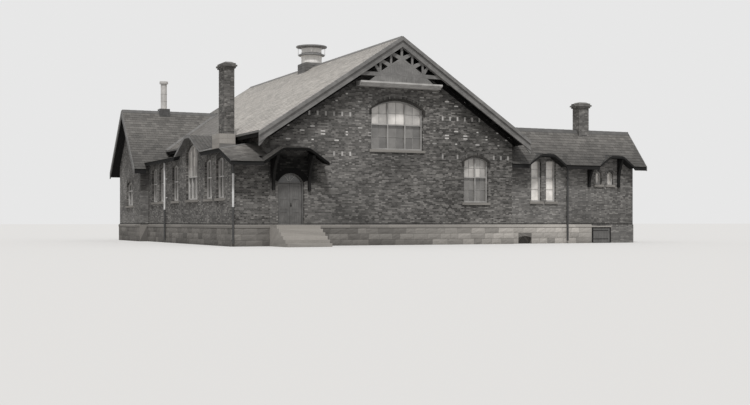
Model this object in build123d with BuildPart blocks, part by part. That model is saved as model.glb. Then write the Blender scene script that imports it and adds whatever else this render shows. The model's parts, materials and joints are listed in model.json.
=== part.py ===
from build123d import *
import os
from math import atan, cos, degrees, sin, sqrt

os.makedirs("parts", exist_ok=True)

# A brick church: a gabled nave, a low aisle and a cross wing on its left, a wing on its right.
# Millimetres. X runs along the street front to the right, Y runs back, Z is up.
# The origin is at ground level under the middle of the nave's front wall, on its outer face.

# Masonry shared by all the ranges
wall = 400
plinth_height = 1050
plinth_proud = 60
plinth_ledge = 150
floor_thick = 250

# Nave
nave_width = 14000
nave_length = 23000
ridge_height = 10760
nave_fall = 0.66
nave_roof_depth = 280
nave_eave_reach = 670
verge_reach = 550
gutter_width = 130
gutter_depth = 110
gutter_wall = 25

# Aisle on the left of the nave
aisle_width = 2000
aisle_eave_height = 4850
aisle_fall = 0.2
aisle_eave_reach = 300
aisle_roof_depth = 200
front_eave_height = 4150
front_fall = 0.36
front_reach = 850

# Raised eave of the aisle, over its tall window
dormer_centre = 7000
dormer_half = 2700
dormer_crown_half = 450
dormer_bend = 700
dormer_rise = 1030
dormer_skin = 140
dormer_gap = 600

# Cross wing at the back of the aisle
left_wing_from_rear = 400
left_wing_depth = 5800
left_wing_proud = 500
left_ridge_height = 8370
left_fall = 1.11
left_eave_reach = 600
left_verge_reach = 500
left_roof_depth = 300

# Wing on the right of the nave
right_wing_length = 8550
right_wing_front = 500
right_wing_depth = 6100
right_ridge_height = 6500
right_ridge_y = 1700
right_front_fall = 1.19
right_rear_fall = 0.42
right_eave_reach = 550
right_rear_reach = 500
right_verge_reach = 550
right_roof_depth = 240
corner_bay_length = 2950

# Raised eaves of the right wing, over the windows
brow_half = 1220
brow_rise = 550
brow_skin = 120
brow_crown_half = 430
brow_bend = 330
brow_from_nave = 2330
brow_from_bay = 1450

# Entrance
door_from_corner = 1100
door_width = 1400
door_height = 2150
door_rise = 450
door_frame_width = 70
door_frame_depth = 100
door_reveal = 150
leaf_thick = 50
leaf_gap = 12
leaf_foot_gap = 10
transom_height = 70
panel_sink = 14
panel_stile = 110
panel_rows = 3

# Strap hinges of the door: an eye on each strap turns on a pintle fixed to the frame
hinge_levels = (300, 1700)
hinge_pin_radius = 8
hinge_play = 0.3
hinge_eye_radius = 14
hinge_eye_height = 40
hinge_set_back = 18
strap_length = 420
strap_thick = 8
pintle_plate = 6
pintle_arm = 30

# Entrance hood and its brackets
hood_half = 1730
hood_rise = 700
hood_crown_half = 690
hood_bend = 420
hood_skin = 130
hood_fall = 0.15
bracket_spread = 950
bracket_thick = 140
bracket_reach = 760
bracket_drop = 420
bracket_butt = 150
bracket_tip = 120
bracket_belly = 0.16
bracket_shoulder = 0.62

# Brackets under the eave of the right wing
eave_bracket_from_bay = (-250, 1820)
eave_bracket_length = 1220
eave_bracket_reach = 480
eave_bracket_tip = 90

# Entrance steps
step_count = 6
tread = 300
landing = 1000
steps_width = 2300
landing_gap = 10

# Windows: width, height from sill to springing, and rise of the arch
centre_window_size = (3000, 2090, 470)
nave_window_size = (1500, 2200, 230)
twin_size = (650, 2230, 70)
light_size = (420, 550, 200)
tall_window_size = (2200, 2600, 400)
aisle_window_size = (1300, 1900, 150)
wing_window_size = (1800, 1300, 250)
wing_rear_window_size = (1200, 1300, 150)
end_window_size = (1300, 1650, 200)
cellar_window_size = (850, 330, 90)

# Sills above the stone base
centre_sill = 3900
nave_sill = 1200
aisle_sill = 1350
street_sill = 1300
light_sill = 2300

# Places along the walls
nave_window_inset = 2270
twin_offsets = (-450, 530)
light_offsets = (530, 1340)
front_aisle_places = (1850, 3900)
back_aisle_gaps = (1650, 1700, 500, 950)
side_window_start = 9000
side_window_end = 3200
side_window_count = 4
wing_rear_margin = 2000
wing_rear_count = 3
cellar_window_offset = 1110

# Transoms above the sills, mullions from the middles
centre_transom = 1310
nave_transom = 1350
twin_transom = 1310
aisle_transom = 1100
tall_transom = 1250
wing_transom = 950
wing_rear_transom = 750
end_transom = 1050
centre_mullions = (-500, 500)
tall_mullions = (-380, 380)

# Frames, glass, sills and label moulds
reveal = 120
frame_width = 80
frame_depth = 90
glass_thick = 12
bar_width = 60
sill_height = 130
sill_proud = 70
sill_ear = 110
label_width = 110
label_proud = 60
label_drop = 260

# Gable dressing
board_depth = 460
board_thick = 60
crown_depth = 170
crown_thick = 130
bead_depth = 80
bead_thick = 95
board_lift = 30
foot_drop = 190
foot_length = 420
ledge_drop = 2360
ledge_half = 2350
ledge_depth = 620
ledge_steps = (60, 150, 210)
ledge_levels = (90, 160, 240)
fret_thick = 70
fret_front = 540
fret_band = 450
fret_rib = 120
fret_strut = 85
fret_pitch = 370
fret_count = 6
king_post = 130
panel_thick = 60
rib_bulge = 90
left_verge_depth = 400
right_verge_depth = 260
verge_thick = 60

# Roof furniture
vent_y = 12000
vent_base = 1300
vent_base_rise = 190
vent_drum_radius = 620
vent_drum_height = 1010
vent_ring_radius = 800
vent_ring_level = 565
vent_cap_radius = 950
vent_cap_lip = 70
vent_cap_height = 190
left_stack_from_nave = 1090
left_stack_y = 3675
left_stack_width = 540
left_stack_depth = 950
left_stack_height = 3670
left_pedestal_from_nave = 1240
left_pedestal_width = 860
left_pedestal_depth = 1200
left_pedestal_rise = 900
right_stack_from_bay = 140
right_stack_width = 660
right_stack_rise = 1580
stack_corbel = 60
corbel_course = 90
pipe_from_nave = 280
pipe_radius = 195
pipe_height = 1640
pipe_collar = 80
pipe_collar_height = 150
pipe_box = 650
pipe_box_rise = 190

# Rainwater pipes
downpipe_radius = 55
downpipe_stand = 45
downpipe_foot = 150
downpipe_straps = (1500, 2600, 3700)
downpipe_strap_width = 50
downpipe_strap_height = 40
corner_downpipe_from_side = 30
aisle_downpipe_share = 0.68
right_downpipe_from_bay = -1710

# Arcade between the nave and the aisle
pier_length = 700
pier_count = 5
beam_depth = 1560

# Lines that several pieces share
nave_side = nave_width / 2
nave_eave = nave_side + nave_eave_reach
aisle_side = -(nave_side + aisle_width)
aisle_eave = aisle_side - aisle_eave_reach
left_end = aisle_side - left_wing_proud
left_verge = left_end - left_verge_reach
left_wing_front = nave_length - left_wing_from_rear - left_wing_depth
left_wing_back = left_wing_front + left_wing_depth
left_ridge_y = left_wing_front + left_wing_depth / 2
dormer_shape = (dormer_half, dormer_crown_half, dormer_rise, dormer_bend, dormer_skin)
right_end = nave_side + right_wing_length
right_verge = right_end + right_verge_reach
right_wing_back = right_wing_front + right_wing_depth
right_eave_y = right_wing_front - right_eave_reach
right_rear_y = right_wing_back + right_rear_reach
bay_start = right_end - corner_bay_length
brow_centres = (nave_side + brow_from_nave, bay_start + brow_from_bay)
door_centre = -nave_side + door_from_corner
door_spring = plinth_height + door_height
ledge_height = ridge_height - ledge_drop
vent_base_top = ridge_height + vent_base_rise
vent_drum_top = vent_base_top + vent_drum_height
left_pedestal_top = aisle_eave_height + left_pedestal_rise
pipe_box_top = left_ridge_height + pipe_box_rise
pipe_top = pipe_box_top + pipe_height
door_left_jamb = door_centre - door_width / 2
door_right_jamb = door_centre + door_width / 2
glass_back = reveal + frame_depth
rear_face = nave_length
far_below = -500
rake = atan(nave_fall)


def nave_top(x):
    return ridge_height - nave_fall * abs(x)


def nave_under(x):
    return nave_top(x) - nave_roof_depth


def aisle_top(x):
    return aisle_eave_height + aisle_fall * (x - aisle_eave)


def aisle_under(x):
    return aisle_top(x) - aisle_roof_depth


def left_top(y):
    return left_ridge_height - left_fall * abs(y - left_ridge_y)


def left_under(y):
    return left_top(y) - left_roof_depth


def right_top(y):
    if y < right_ridge_y:
        return right_ridge_height - right_front_fall * (right_ridge_y - y)
    return right_ridge_height - right_rear_fall * (y - right_ridge_y)


def right_under(y):
    return right_top(y) - right_roof_depth


# Each window is its centre along the wall, sill, springing, width and rise of the arch.
def arched(centre, sill, spring, width, rise):
    left = centre - width / 2
    right = centre + width / 2
    with BuildSketch() as face:
        with BuildLine():
            if sill < spring:
                Polyline((left, spring), (left, sill), (right, sill), (right, spring))
            else:
                Line((left, spring), (right, spring))
            ThreePointArc((right, spring), (centre, spring + rise), (left, spring))
        make_face()
    return face.sketch


# Mullions are offsets from the window's centre; the transom's level is from the sill.
def window_frame(opening, mullions, transom):
    centre, sill, spring, width, rise = opening
    clear = width - 2 * frame_width
    with BuildSketch() as face:
        add(arched(*opening))
        add(arched(centre, sill + frame_width, spring, clear, rise - frame_width), mode=Mode.SUBTRACT)
        for across in mullions:
            with Locations((centre + across, sill)):
                Rectangle(bar_width, spring + rise - sill, align=(Align.CENTER, Align.MIN))
        if transom:
            with Locations((centre, sill + transom)):
                Rectangle(width, bar_width)
        add(arched(*opening), mode=Mode.INTERSECT)
    return face.sketch


def sill_strip(opening):
    centre, sill, spring, width, rise = opening
    with BuildSketch() as face:
        with Locations((centre, sill)):
            Rectangle(width + 2 * sill_ear, sill_height, align=(Align.CENTER, Align.MAX))
    return face.sketch


def label_band(opening):
    centre, sill, spring, width, rise = opening
    with BuildSketch() as face:
        outer_rise = rise + label_width
        add(arched(centre, spring - label_drop, spring, width + 2 * label_width, outer_rise))
        add(arched(centre, spring - label_drop, spring, width, rise), mode=Mode.SUBTRACT)
    return face.sketch


def raised_eave(half, crown_half, rise, bend, depth):
    outer = [(-half, 0), (-crown_half, rise), (crown_half, rise), (half, 0)]
    inner = [(-half, -depth), (-crown_half, rise - depth), (crown_half, rise - depth), (half, -depth)]
    with BuildSketch() as face:
        with BuildLine():
            FilletPolyline(*outer, radius=bend)
            FilletPolyline(*inner, radius=bend)
            Line(outer[0], inner[0])
            Line(outer[-1], inner[-1])
        make_face()
    return face.sketch


def raised_eave_gap(half, crown_half, rise, bend, depth, drop):
    inner = [(-half, -depth), (-crown_half, rise - depth), (crown_half, rise - depth), (half, -depth)]
    with BuildSketch() as face:
        with BuildLine():
            FilletPolyline(*inner, radius=bend)
            Polyline(inner[0], (-half, -drop), (half, -drop), inner[-1])
        make_face()
    return face.sketch


def nave_mass(front, back):
    side_under = nave_under(nave_side)
    eave_under = nave_under(nave_eave)
    eave_top = nave_top(nave_eave)
    with BuildPart() as mass:
        with BuildSketch(Plane.XZ.offset(-back)):
            Polygon(
                (-nave_side, far_below), (nave_side, far_below), (nave_side, side_under),
                (nave_eave, eave_under), (nave_eave, eave_top), (0, ridge_height),
                (-nave_eave, eave_top), (-nave_eave, eave_under), (-nave_side, side_under),
                align=None,
            )
        extrude(amount=back - front)
    return mass.part


def aisle_mass(drop):
    reach_back = left_wing_front + wall
    with BuildPart() as mass:
        with BuildSketch(Plane.XZ.offset(-reach_back)):
            Polygon(
                (aisle_eave, far_below), (-nave_side, far_below),
                (-nave_side, aisle_top(-nave_side) - drop), (aisle_eave, aisle_eave_height - drop),
                align=None,
            )
        extrude(amount=reach_back + front_reach)
        with BuildSketch(Plane.YZ.offset(aisle_eave)):
            back_top = front_eave_height + front_fall * (reach_back + front_reach) - drop
            Polygon(
                (-front_reach, far_below), (reach_back, far_below),
                (reach_back, back_top), (-front_reach, front_eave_height - drop),
                align=None,
            )
        extrude(amount=-nave_side - aisle_eave, mode=Mode.INTERSECT)
    return mass.part


# Windows, their sills measured from the top of the stone base
def window(centre, sill, size):
    width, height, rise = size
    return (centre, plinth_height + sill, plinth_height + sill + height, width, rise)


# Centres of equal windows, spread evenly between the first and the last
def spread(first, last, count):
    return [first + (last - first) * step / (count - 1) for step in range(count)]


# The windows behind the tall one share the wall up to the cross wing in fixed shares.
aisle_window_width = aisle_window_size[0]
back_aisle_start = dormer_centre + tall_window_size[0] / 2
back_aisle_spare = left_wing_front - back_aisle_start - (len(back_aisle_gaps) - 1) * aisle_window_width
back_aisle_piers = [back_aisle_spare * gap / sum(back_aisle_gaps) for gap in back_aisle_gaps]
back_aisle_places = [
    back_aisle_start + sum(back_aisle_piers[:step + 1]) + aisle_window_width * (step + 0.5)
    for step in range(len(back_aisle_gaps) - 1)
]
nave_window_place = nave_side - nave_window_inset
centre_window = window(0, centre_sill, centre_window_size)
nave_window = window(nave_window_place, nave_sill, nave_window_size)
twin_left, twin_right = [
    window(brow_centres[0] + across, street_sill, twin_size) for across in twin_offsets
]
left_light, right_light = [window(bay_start + across, light_sill, light_size) for across in light_offsets]
tall_window = window(dormer_centre, aisle_sill, tall_window_size)
aisle_windows = [
    window(centre, aisle_sill, aisle_window_size) for centre in (*front_aisle_places, *back_aisle_places)
]
wing_window = window(left_ridge_y, nave_sill, wing_window_size)
side_windows = [
    window(centre, nave_sill, nave_window_size)
    for centre in spread(side_window_start, nave_length - side_window_end, side_window_count)
]
rear_windows = [
    window(centre, nave_sill, nave_window_size) for centre in (-nave_window_place, 0, nave_window_place)
]
wing_rear_windows = [
    window(centre, nave_sill, wing_rear_window_size)
    for centre in spread(nave_side + wing_rear_margin, right_end - wing_rear_margin, wing_rear_count)
]
end_window = window((right_wing_front + wall + right_wing_back) / 2, street_sill, end_window_size)
cellar_window = window(nave_side + cellar_window_offset, -plinth_height, cellar_window_size)
fanlight = (door_centre, door_spring, door_spring, door_width, door_rise)

# Stone base of the nave, with a ledge inside that carries the floor
with BuildPart() as nave_foundation:
    ledge_level = plinth_height - floor_thick
    outer_width = nave_width + 2 * plinth_proud
    outer_length = nave_length + 2 * plinth_proud
    with BuildSketch():
        with Locations((0, nave_length / 2)):
            Rectangle(outer_width, outer_length)
            inset = 2 * (wall + plinth_ledge)
            Rectangle(nave_width - inset, nave_length - inset, mode=Mode.SUBTRACT)
    extrude(amount=ledge_level)
    with BuildSketch(Plane.XY.offset(ledge_level)):
        with Locations((0, nave_length / 2)):
            Rectangle(outer_width, outer_length)
            Rectangle(nave_width - 2 * wall, nave_length - 2 * wall, mode=Mode.SUBTRACT)
    extrude(amount=floor_thick)
nave_foundation.part.label = "nave_foundation"
export_step(nave_foundation.part, "parts/nave_foundation.step")

# Stone base of the aisle and the cross wing
nave_base = nave_side + plinth_proud
left_outline = [
    (-nave_base, -plinth_proud), (aisle_side - plinth_proud, -plinth_proud),
    (aisle_side - plinth_proud, left_wing_front - plinth_proud),
    (left_end - plinth_proud, left_wing_front - plinth_proud),
    (left_end - plinth_proud, left_wing_back + plinth_proud), (-nave_base, left_wing_back + plinth_proud),
]


def left_room(inset):
    return [
        (-nave_base, inset), (aisle_side + inset, inset),
        (aisle_side + inset, left_wing_front + inset), (left_end + inset, left_wing_front + inset),
        (left_end + inset, left_wing_back - inset), (-nave_base, left_wing_back - inset),
    ]


with BuildPart() as left_foundation:
    with BuildSketch():
        Polygon(*left_outline, align=None)
        Polygon(*left_room(wall + plinth_ledge), align=None, mode=Mode.SUBTRACT)
    extrude(amount=ledge_level)
    with BuildSketch(Plane.XY.offset(ledge_level)):
        Polygon(*left_outline, align=None)
        Polygon(*left_room(wall), align=None, mode=Mode.SUBTRACT)
    extrude(amount=floor_thick)
left_foundation.part.label = "left_foundation"
export_step(left_foundation.part, "parts/left_foundation.step")

# Stone base of the right wing, up to the brick corner bay, with a cellar light
right_outline = [
    (nave_base, right_wing_front - plinth_proud), (bay_start, right_wing_front - plinth_proud),
    (bay_start, right_wing_front + wall), (right_end - wall, right_wing_front + wall),
    (right_end + plinth_proud, right_wing_front + wall),
    (right_end + plinth_proud, right_wing_back + plinth_proud), (nave_base, right_wing_back + plinth_proud),
]


def right_room(inset):
    return [
        (nave_base, right_wing_front + inset), (right_end - inset, right_wing_front + inset),
        (right_end - inset, right_wing_back - inset), (nave_base, right_wing_back - inset),
    ]


with BuildPart() as right_foundation:
    with BuildSketch():
        Polygon(*right_outline, align=None)
        Polygon(*right_room(wall + plinth_ledge), align=None, mode=Mode.SUBTRACT)
    extrude(amount=ledge_level)
    with BuildSketch(Plane.XY.offset(ledge_level)):
        Polygon(*right_outline, align=None)
        Polygon(*right_room(wall), align=None, mode=Mode.SUBTRACT)
    extrude(amount=floor_thick)
    with BuildSketch(Plane.XZ.offset(plinth_proud - right_wing_front)):
        add(arched(*cellar_window))
    extrude(amount=-2 * reveal, mode=Mode.SUBTRACT)
right_foundation.part.label = "right_foundation"
export_step(right_foundation.part, "parts/right_foundation.step")

# Floors of the nave, the left range and the right wing
with BuildPart() as floors:
    with BuildSketch(Plane.XY.offset(ledge_level)):
        with Locations((0, nave_length / 2)):
            Rectangle(nave_width - 2 * wall, nave_length - 2 * wall)
        Polygon(*left_room(wall), align=None)
        Polygon(*right_room(wall), align=None)
    extrude(amount=floor_thick)
floors.part.label = "floors"
export_step(floors.part, "parts/floors.step")

# Front wall of the nave, right of the entrance, up to the roof
with BuildPart() as front_wall:
    with BuildSketch(Plane.XZ.offset(-wall)):
        Polygon(
            (door_right_jamb, plinth_height), (nave_side, plinth_height),
            (nave_side, nave_under(nave_side)),
            (0, nave_under(0)), (door_right_jamb, nave_under(door_right_jamb)),
            align=None,
        )
        add(arched(*centre_window), mode=Mode.SUBTRACT)
        add(arched(*nave_window), mode=Mode.SUBTRACT)
    extrude(amount=wall)
front_wall.part.label = "front_wall"
export_step(front_wall.part, "parts/front_wall.step")

# Front wall left of the entrance, at the nave's corner
with BuildPart() as front_wall_corner:
    with BuildSketch(Plane.XZ.offset(-wall)):
        Polygon(
            (-nave_side, plinth_height), (door_left_jamb, plinth_height),
            (door_left_jamb, nave_under(door_left_jamb)), (-nave_side, nave_under(nave_side)),
            align=None,
        )
    extrude(amount=wall)
front_wall_corner.part.label = "front_wall_corner"
export_step(front_wall_corner.part, "parts/front_wall_corner.step")

# Front wall over the entrance, with the arch in its underside
with BuildPart() as front_wall_over_door:
    with BuildSketch(Plane.XZ.offset(-wall)):
        with BuildLine():
            Polyline(
                (door_left_jamb, door_spring), (door_left_jamb, nave_under(door_left_jamb)),
                (door_right_jamb, nave_under(door_right_jamb)), (door_right_jamb, door_spring),
            )
            ThreePointArc(
                (door_right_jamb, door_spring), (door_centre, door_spring + door_rise),
                (door_left_jamb, door_spring),
            )
        make_face()
    extrude(amount=wall)
front_wall_over_door.part.label = "front_wall_over_door"
export_step(front_wall_over_door.part, "parts/front_wall_over_door.step")

# Rear gable wall
with BuildPart() as rear_wall:
    with BuildSketch(Plane.XZ.offset(-rear_face)):
        Polygon(
            (-nave_side, plinth_height), (nave_side, plinth_height), (nave_side, nave_under(nave_side)),
            (0, nave_under(0)), (-nave_side, nave_under(nave_side)),
            align=None,
        )
        for opening in rear_windows:
            add(arched(*opening), mode=Mode.SUBTRACT)
    extrude(amount=wall)
rear_wall.part.label = "rear_wall"
export_step(rear_wall.part, "parts/rear_wall.step")

# Right side wall of the nave
inner_side = nave_side - wall
with BuildPart() as nave_right_wall:
    with BuildSketch(Plane.XZ.offset(wall - rear_face)):
        Polygon(
            (inner_side, plinth_height), (nave_side, plinth_height),
            (nave_side, nave_under(nave_side)), (inner_side, nave_under(inner_side)),
            align=None,
        )
    extrude(amount=nave_length - 2 * wall)
    with BuildSketch(Plane.YZ.offset(inner_side)):
        for opening in side_windows:
            add(arched(*opening))
    extrude(amount=wall, mode=Mode.SUBTRACT)
nave_right_wall.part.label = "nave_right_wall"
export_step(nave_right_wall.part, "parts/nave_right_wall.step")

# Piers and beam that carry the nave's left eave over the aisle
beam_foot = nave_under(nave_side) - beam_depth
with BuildPart() as nave_arcade:
    with BuildSketch(Plane.XZ.offset(wall - rear_face)):
        Polygon(
            (-nave_side, beam_foot), (-inner_side, beam_foot),
            (-inner_side, nave_under(inner_side)), (-nave_side, nave_under(nave_side)),
            align=None,
        )
    extrude(amount=nave_length - 2 * wall)
    pier_step = (nave_length - 2 * wall - pier_length) / (pier_count - 1)
    with BuildSketch(Plane.XY.offset(plinth_height)):
        with Locations((-(nave_side + inner_side) / 2, nave_length / 2)):
            with GridLocations(wall, pier_step, 1, pier_count):
                Rectangle(wall, pier_length)
    extrude(amount=beam_foot - plinth_height)
nave_arcade.part.label = "nave_arcade"
export_step(nave_arcade.part, "parts/nave_arcade.step")

# Roof slopes of the nave
for name, hand in (("nave_roof_left", -1), ("nave_roof_right", 1)):
    with BuildPart() as nave_slope:
        with BuildSketch(Plane.XZ.offset(-(rear_face + verge_reach))):
            Polygon(
                (0, nave_under(0)), (0, nave_top(0)),
                (hand * nave_eave, nave_top(nave_eave)), (hand * nave_eave, nave_under(nave_eave)),
                align=None,
            )
        extrude(amount=nave_length + 2 * verge_reach)
    nave_slope.part.label = name
    export_step(nave_slope.part, f"parts/{name}.step")

# Gutters along the nave's eaves, stopped at the raised eave of the aisle
with BuildPart() as nave_gutters:
    with BuildSketch(Plane.XZ.offset(-(rear_face + verge_reach))):
        for hand in (-1, 1):
            with Locations((hand * (nave_eave + gutter_width / 2), nave_top(nave_eave))):
                Rectangle(gutter_width, gutter_depth, align=(Align.CENTER, Align.MAX))
                trough = gutter_width - 2 * gutter_wall
                hollow = gutter_depth - gutter_wall
                Rectangle(trough, hollow, align=(Align.CENTER, Align.MAX), mode=Mode.SUBTRACT)
    extrude(amount=nave_length + 2 * verge_reach)
    with BuildSketch(Plane.YZ.offset(aisle_eave)):
        with Locations((dormer_centre, aisle_eave_height)):
            add(raised_eave(*dormer_shape))
            add(raised_eave_gap(*dormer_shape, dormer_gap))
    extrude(amount=-nave_side - aisle_eave, mode=Mode.SUBTRACT)
nave_gutters.part.label = "nave_gutters"
export_step(nave_gutters.part, "parts/nave_gutters.step")

# Layered boards on the verges: a fascia, a crown strip and a bead, with a plumb foot
foot_x = nave_eave + gutter_width


def rake_band(top, bottom, reach):
    high = ridge_height + top
    low = ridge_height + bottom
    fall = nave_fall * reach
    with BuildSketch() as band:
        Polygon(
            (-reach, high - fall), (0, high), (reach, high - fall),
            (reach, low - fall), (0, low), (-reach, low - fall),
            align=None,
        )
    return band.sketch


def rake_feet(bottom):
    low = ridge_height + bottom
    with BuildSketch() as feet:
        for hand in (-1, 1):
            Polygon(
                (hand * foot_x, low - nave_fall * foot_x),
                (hand * foot_x, low - nave_fall * foot_x - foot_drop),
                (hand * (foot_x - foot_length), low - nave_fall * (foot_x - foot_length)),
                align=None,
            )
    return feet.sketch


board_plumb = board_depth / cos(rake)
crown_plumb = crown_depth / cos(rake)
bead_plumb = bead_depth / cos(rake)
board_foot = board_lift - board_plumb
with BuildPart() as front_bargeboards:
    with BuildSketch(Plane.XZ.offset(verge_reach)):
        add(rake_band(board_lift, board_foot, foot_x))
        add(rake_feet(board_foot))
    extrude(amount=board_thick)
    with BuildSketch(Plane.XZ.offset(verge_reach)):
        add(rake_band(board_lift, board_lift - crown_plumb, foot_x))
    extrude(amount=crown_thick)
    with BuildSketch(Plane.XZ.offset(verge_reach)):
        add(rake_band(board_foot + bead_plumb, board_foot, foot_x))
    extrude(amount=bead_thick)
front_bargeboards.part.label = "front_bargeboards"
export_step(front_bargeboards.part, "parts/front_bargeboards.step")

with BuildPart() as rear_bargeboards:
    with BuildSketch(Plane.XZ.offset(-(rear_face + verge_reach))):
        add(rake_band(board_lift, board_foot, foot_x))
    extrude(amount=-board_thick)
    with BuildSketch(Plane.XZ.offset(-(rear_face + verge_reach))):
        add(rake_band(board_lift, board_lift - crown_plumb, foot_x))
    extrude(amount=-crown_thick)
rear_bargeboards.part.label = "rear_bargeboards"
export_step(rear_bargeboards.part, "parts/rear_bargeboards.step")

# Pierced truss under the front boards: rafters, a pointed rib, struts and a king post
fret_top = -nave_roof_depth
rib_crown = ridge_height - board_plumb - fret_band
fret_foot_x = (rib_crown - ledge_height) / nave_fall


def rib_inside(shrink):
    foot = fret_foot_x - shrink / sin(rake)
    crown = rib_crown - shrink / cos(rake) - rib_bulge
    side = (foot / 2, (ledge_height + crown) / 2 + rib_bulge)
    with BuildSketch() as inside:
        with BuildLine():
            Line((-foot, ledge_height), (foot, ledge_height))
            ThreePointArc((foot, ledge_height), side, (0, crown))
            ThreePointArc((0, crown), (-side[0], side[1]), (-foot, ledge_height))
        make_face()
    return inside.sketch


fret_reach = (ridge_height + fret_top - ledge_height) / nave_fall
with BuildPart() as gable_fretwork:
    with BuildSketch(Plane.XZ.offset(fret_front - fret_thick)):
        add(rake_band(fret_top, -board_plumb - fret_strut, fret_reach))
        add(rib_inside(0))
        for hand in (-1, 1):
            for step in range(fret_count):
                along = (step + 0.5) * fret_pitch
                middle = hand * along * cos(rake)
                height = ridge_height - board_plumb - along * sin(rake) - fret_band / 2
                with Locations(Location((middle, height), hand * -degrees(rake))):
                    Rectangle(fret_strut, fret_band + 2 * fret_rib)
        with Locations((0, ledge_height)):
            king_post_height = ridge_height - nave_roof_depth - ledge_height
            Rectangle(king_post, king_post_height, align=(Align.CENTER, Align.MIN))
        Polygon(
            (-fret_reach, ledge_height), (0, ridge_height + fret_top), (fret_reach, ledge_height),
            align=None, mode=Mode.INTERSECT,
        )
        add(rib_inside(fret_rib), mode=Mode.SUBTRACT)
    extrude(amount=fret_thick)
gable_fretwork.part.label = "gable_fretwork"
export_step(gable_fretwork.part, "parts/gable_fretwork.step")

# Boarded panel inside the rib
with BuildPart() as gable_panel:
    with BuildSketch(Plane.XZ.offset(fret_front - fret_thick)):
        add(rib_inside(fret_rib))
    extrude(amount=panel_thick)
gable_panel.part.label = "gable_panel"
export_step(gable_panel.part, "parts/gable_panel.step")

# Moulded ledge under the peak
with BuildPart() as gable_ledge:
    with BuildSketch(Plane.YZ.offset(-ledge_half)):
        lip, cove, back = [-ledge_depth + step for step in ledge_steps]
        lip_foot, cove_foot, ledge_foot = [ledge_height - level for level in ledge_levels]
        Polygon(
            (0, ledge_height), (-ledge_depth, ledge_height), (-ledge_depth, lip_foot),
            (lip, lip_foot), (lip, cove_foot), (cove, cove_foot), (back, ledge_foot), (0, ledge_foot),
            align=None,
        )
    extrude(amount=2 * ledge_half)
gable_ledge.part.label = "gable_ledge"
export_step(gable_ledge.part, "parts/gable_ledge.step")

# Square base of the ridge ventilator, notched over the ridge
with BuildPart() as ventilator_base:
    with BuildSketch(Plane.XY.offset(nave_top(vent_base))):
        with Locations((0, vent_y)):
            Rectangle(vent_base, vent_base)
    extrude(amount=vent_base_top - nave_top(vent_base))
    add(nave_mass(vent_y - vent_base, vent_y + vent_base), mode=Mode.SUBTRACT)
ventilator_base.part.label = "ventilator_base"
export_step(ventilator_base.part, "parts/ventilator_base.step")

# Round ventilator: a drum with a storm ring and a coned cap
with BuildPart() as ventilator:
    with BuildSketch(Plane.XZ.offset(-vent_y)):
        ring_foot = vent_base_top + vent_ring_level - vent_cap_lip
        ring_top = vent_base_top + vent_ring_level + vent_cap_lip
        Polygon(
            (0, vent_base_top), (vent_drum_radius, vent_base_top),
            (vent_drum_radius, ring_foot - vent_cap_lip / 2),
            (vent_ring_radius, ring_foot), (vent_ring_radius, ring_top - vent_cap_lip),
            (vent_drum_radius, ring_top), (vent_drum_radius, vent_drum_top - vent_cap_lip),
            (vent_cap_radius, vent_drum_top), (vent_cap_radius, vent_drum_top + vent_cap_lip),
            (0, vent_drum_top + vent_cap_height),
            align=None,
        )
    revolve(axis=Axis((0, vent_y, 0), (0, 0, 1)))
ventilator.part.label = "ventilator"
export_step(ventilator.part, "parts/ventilator.step")


# Chimney stack with three corbelled courses at the head
def stack(x, y, width, depth, foot, top):
    with BuildPart() as chimney:
        with BuildSketch(Plane.XY.offset(foot)):
            with Locations((x, y)):
                Rectangle(width, depth)
        extrude(amount=top - foot)
        for course, proud in ((3, 1), (2, 2), (1, 1)):
            with BuildSketch(Plane.XY.offset(top - course * corbel_course)):
                with Locations((x, y)):
                    Rectangle(width + 2 * proud * stack_corbel, depth + 2 * proud * stack_corbel)
            extrude(amount=corbel_course)
    return chimney.part


with BuildPart() as left_chimney:
    add(stack(
        -nave_side - left_stack_from_nave, left_stack_y, left_stack_width, left_stack_depth,
        left_pedestal_top, left_pedestal_top + left_stack_height,
    ))
    with BuildSketch(Plane.XY.offset(aisle_eave_height - aisle_roof_depth)):
        with Locations((-nave_side - left_pedestal_from_nave, left_stack_y)):
            Rectangle(left_pedestal_width, left_pedestal_depth)
    extrude(amount=left_pedestal_top - aisle_eave_height + aisle_roof_depth)
    add(aisle_mass(0), mode=Mode.SUBTRACT)
left_chimney.part.label = "left_chimney"
export_step(left_chimney.part, "parts/left_chimney.step")


def right_mass():
    with BuildPart() as mass:
        with BuildSketch(Plane.YZ.offset(nave_side)):
            Polygon(
                (right_eave_y, far_below), (right_eave_y, right_top(right_eave_y)),
                (right_ridge_y, right_ridge_height), (right_rear_y, right_top(right_rear_y)),
                (right_rear_y, far_below),
                align=None,
            )
        extrude(amount=right_verge - nave_side)
    return mass.part


with BuildPart() as right_chimney:
    add(stack(
        bay_start + right_stack_from_bay, right_ridge_y, right_stack_width, right_stack_width,
        right_ridge_height - right_stack_width, right_ridge_height + right_stack_rise,
    ))
    add(right_mass(), mode=Mode.SUBTRACT)
right_chimney.part.label = "right_chimney"
export_step(right_chimney.part, "parts/right_chimney.step")


# Solid under the top faces of the cross wing's roof
def left_wing_mass():
    front = left_wing_front - left_eave_reach
    back = left_wing_back + left_eave_reach
    with BuildPart() as mass:
        with BuildSketch(Plane.YZ.offset(left_verge)):
            Polygon(
                (front, far_below), (front, left_top(front)), (left_ridge_y, left_ridge_height),
                (back, left_top(back)), (back, far_below),
                align=None,
            )
        extrude(amount=-left_verge)
    return mass.part


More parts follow.
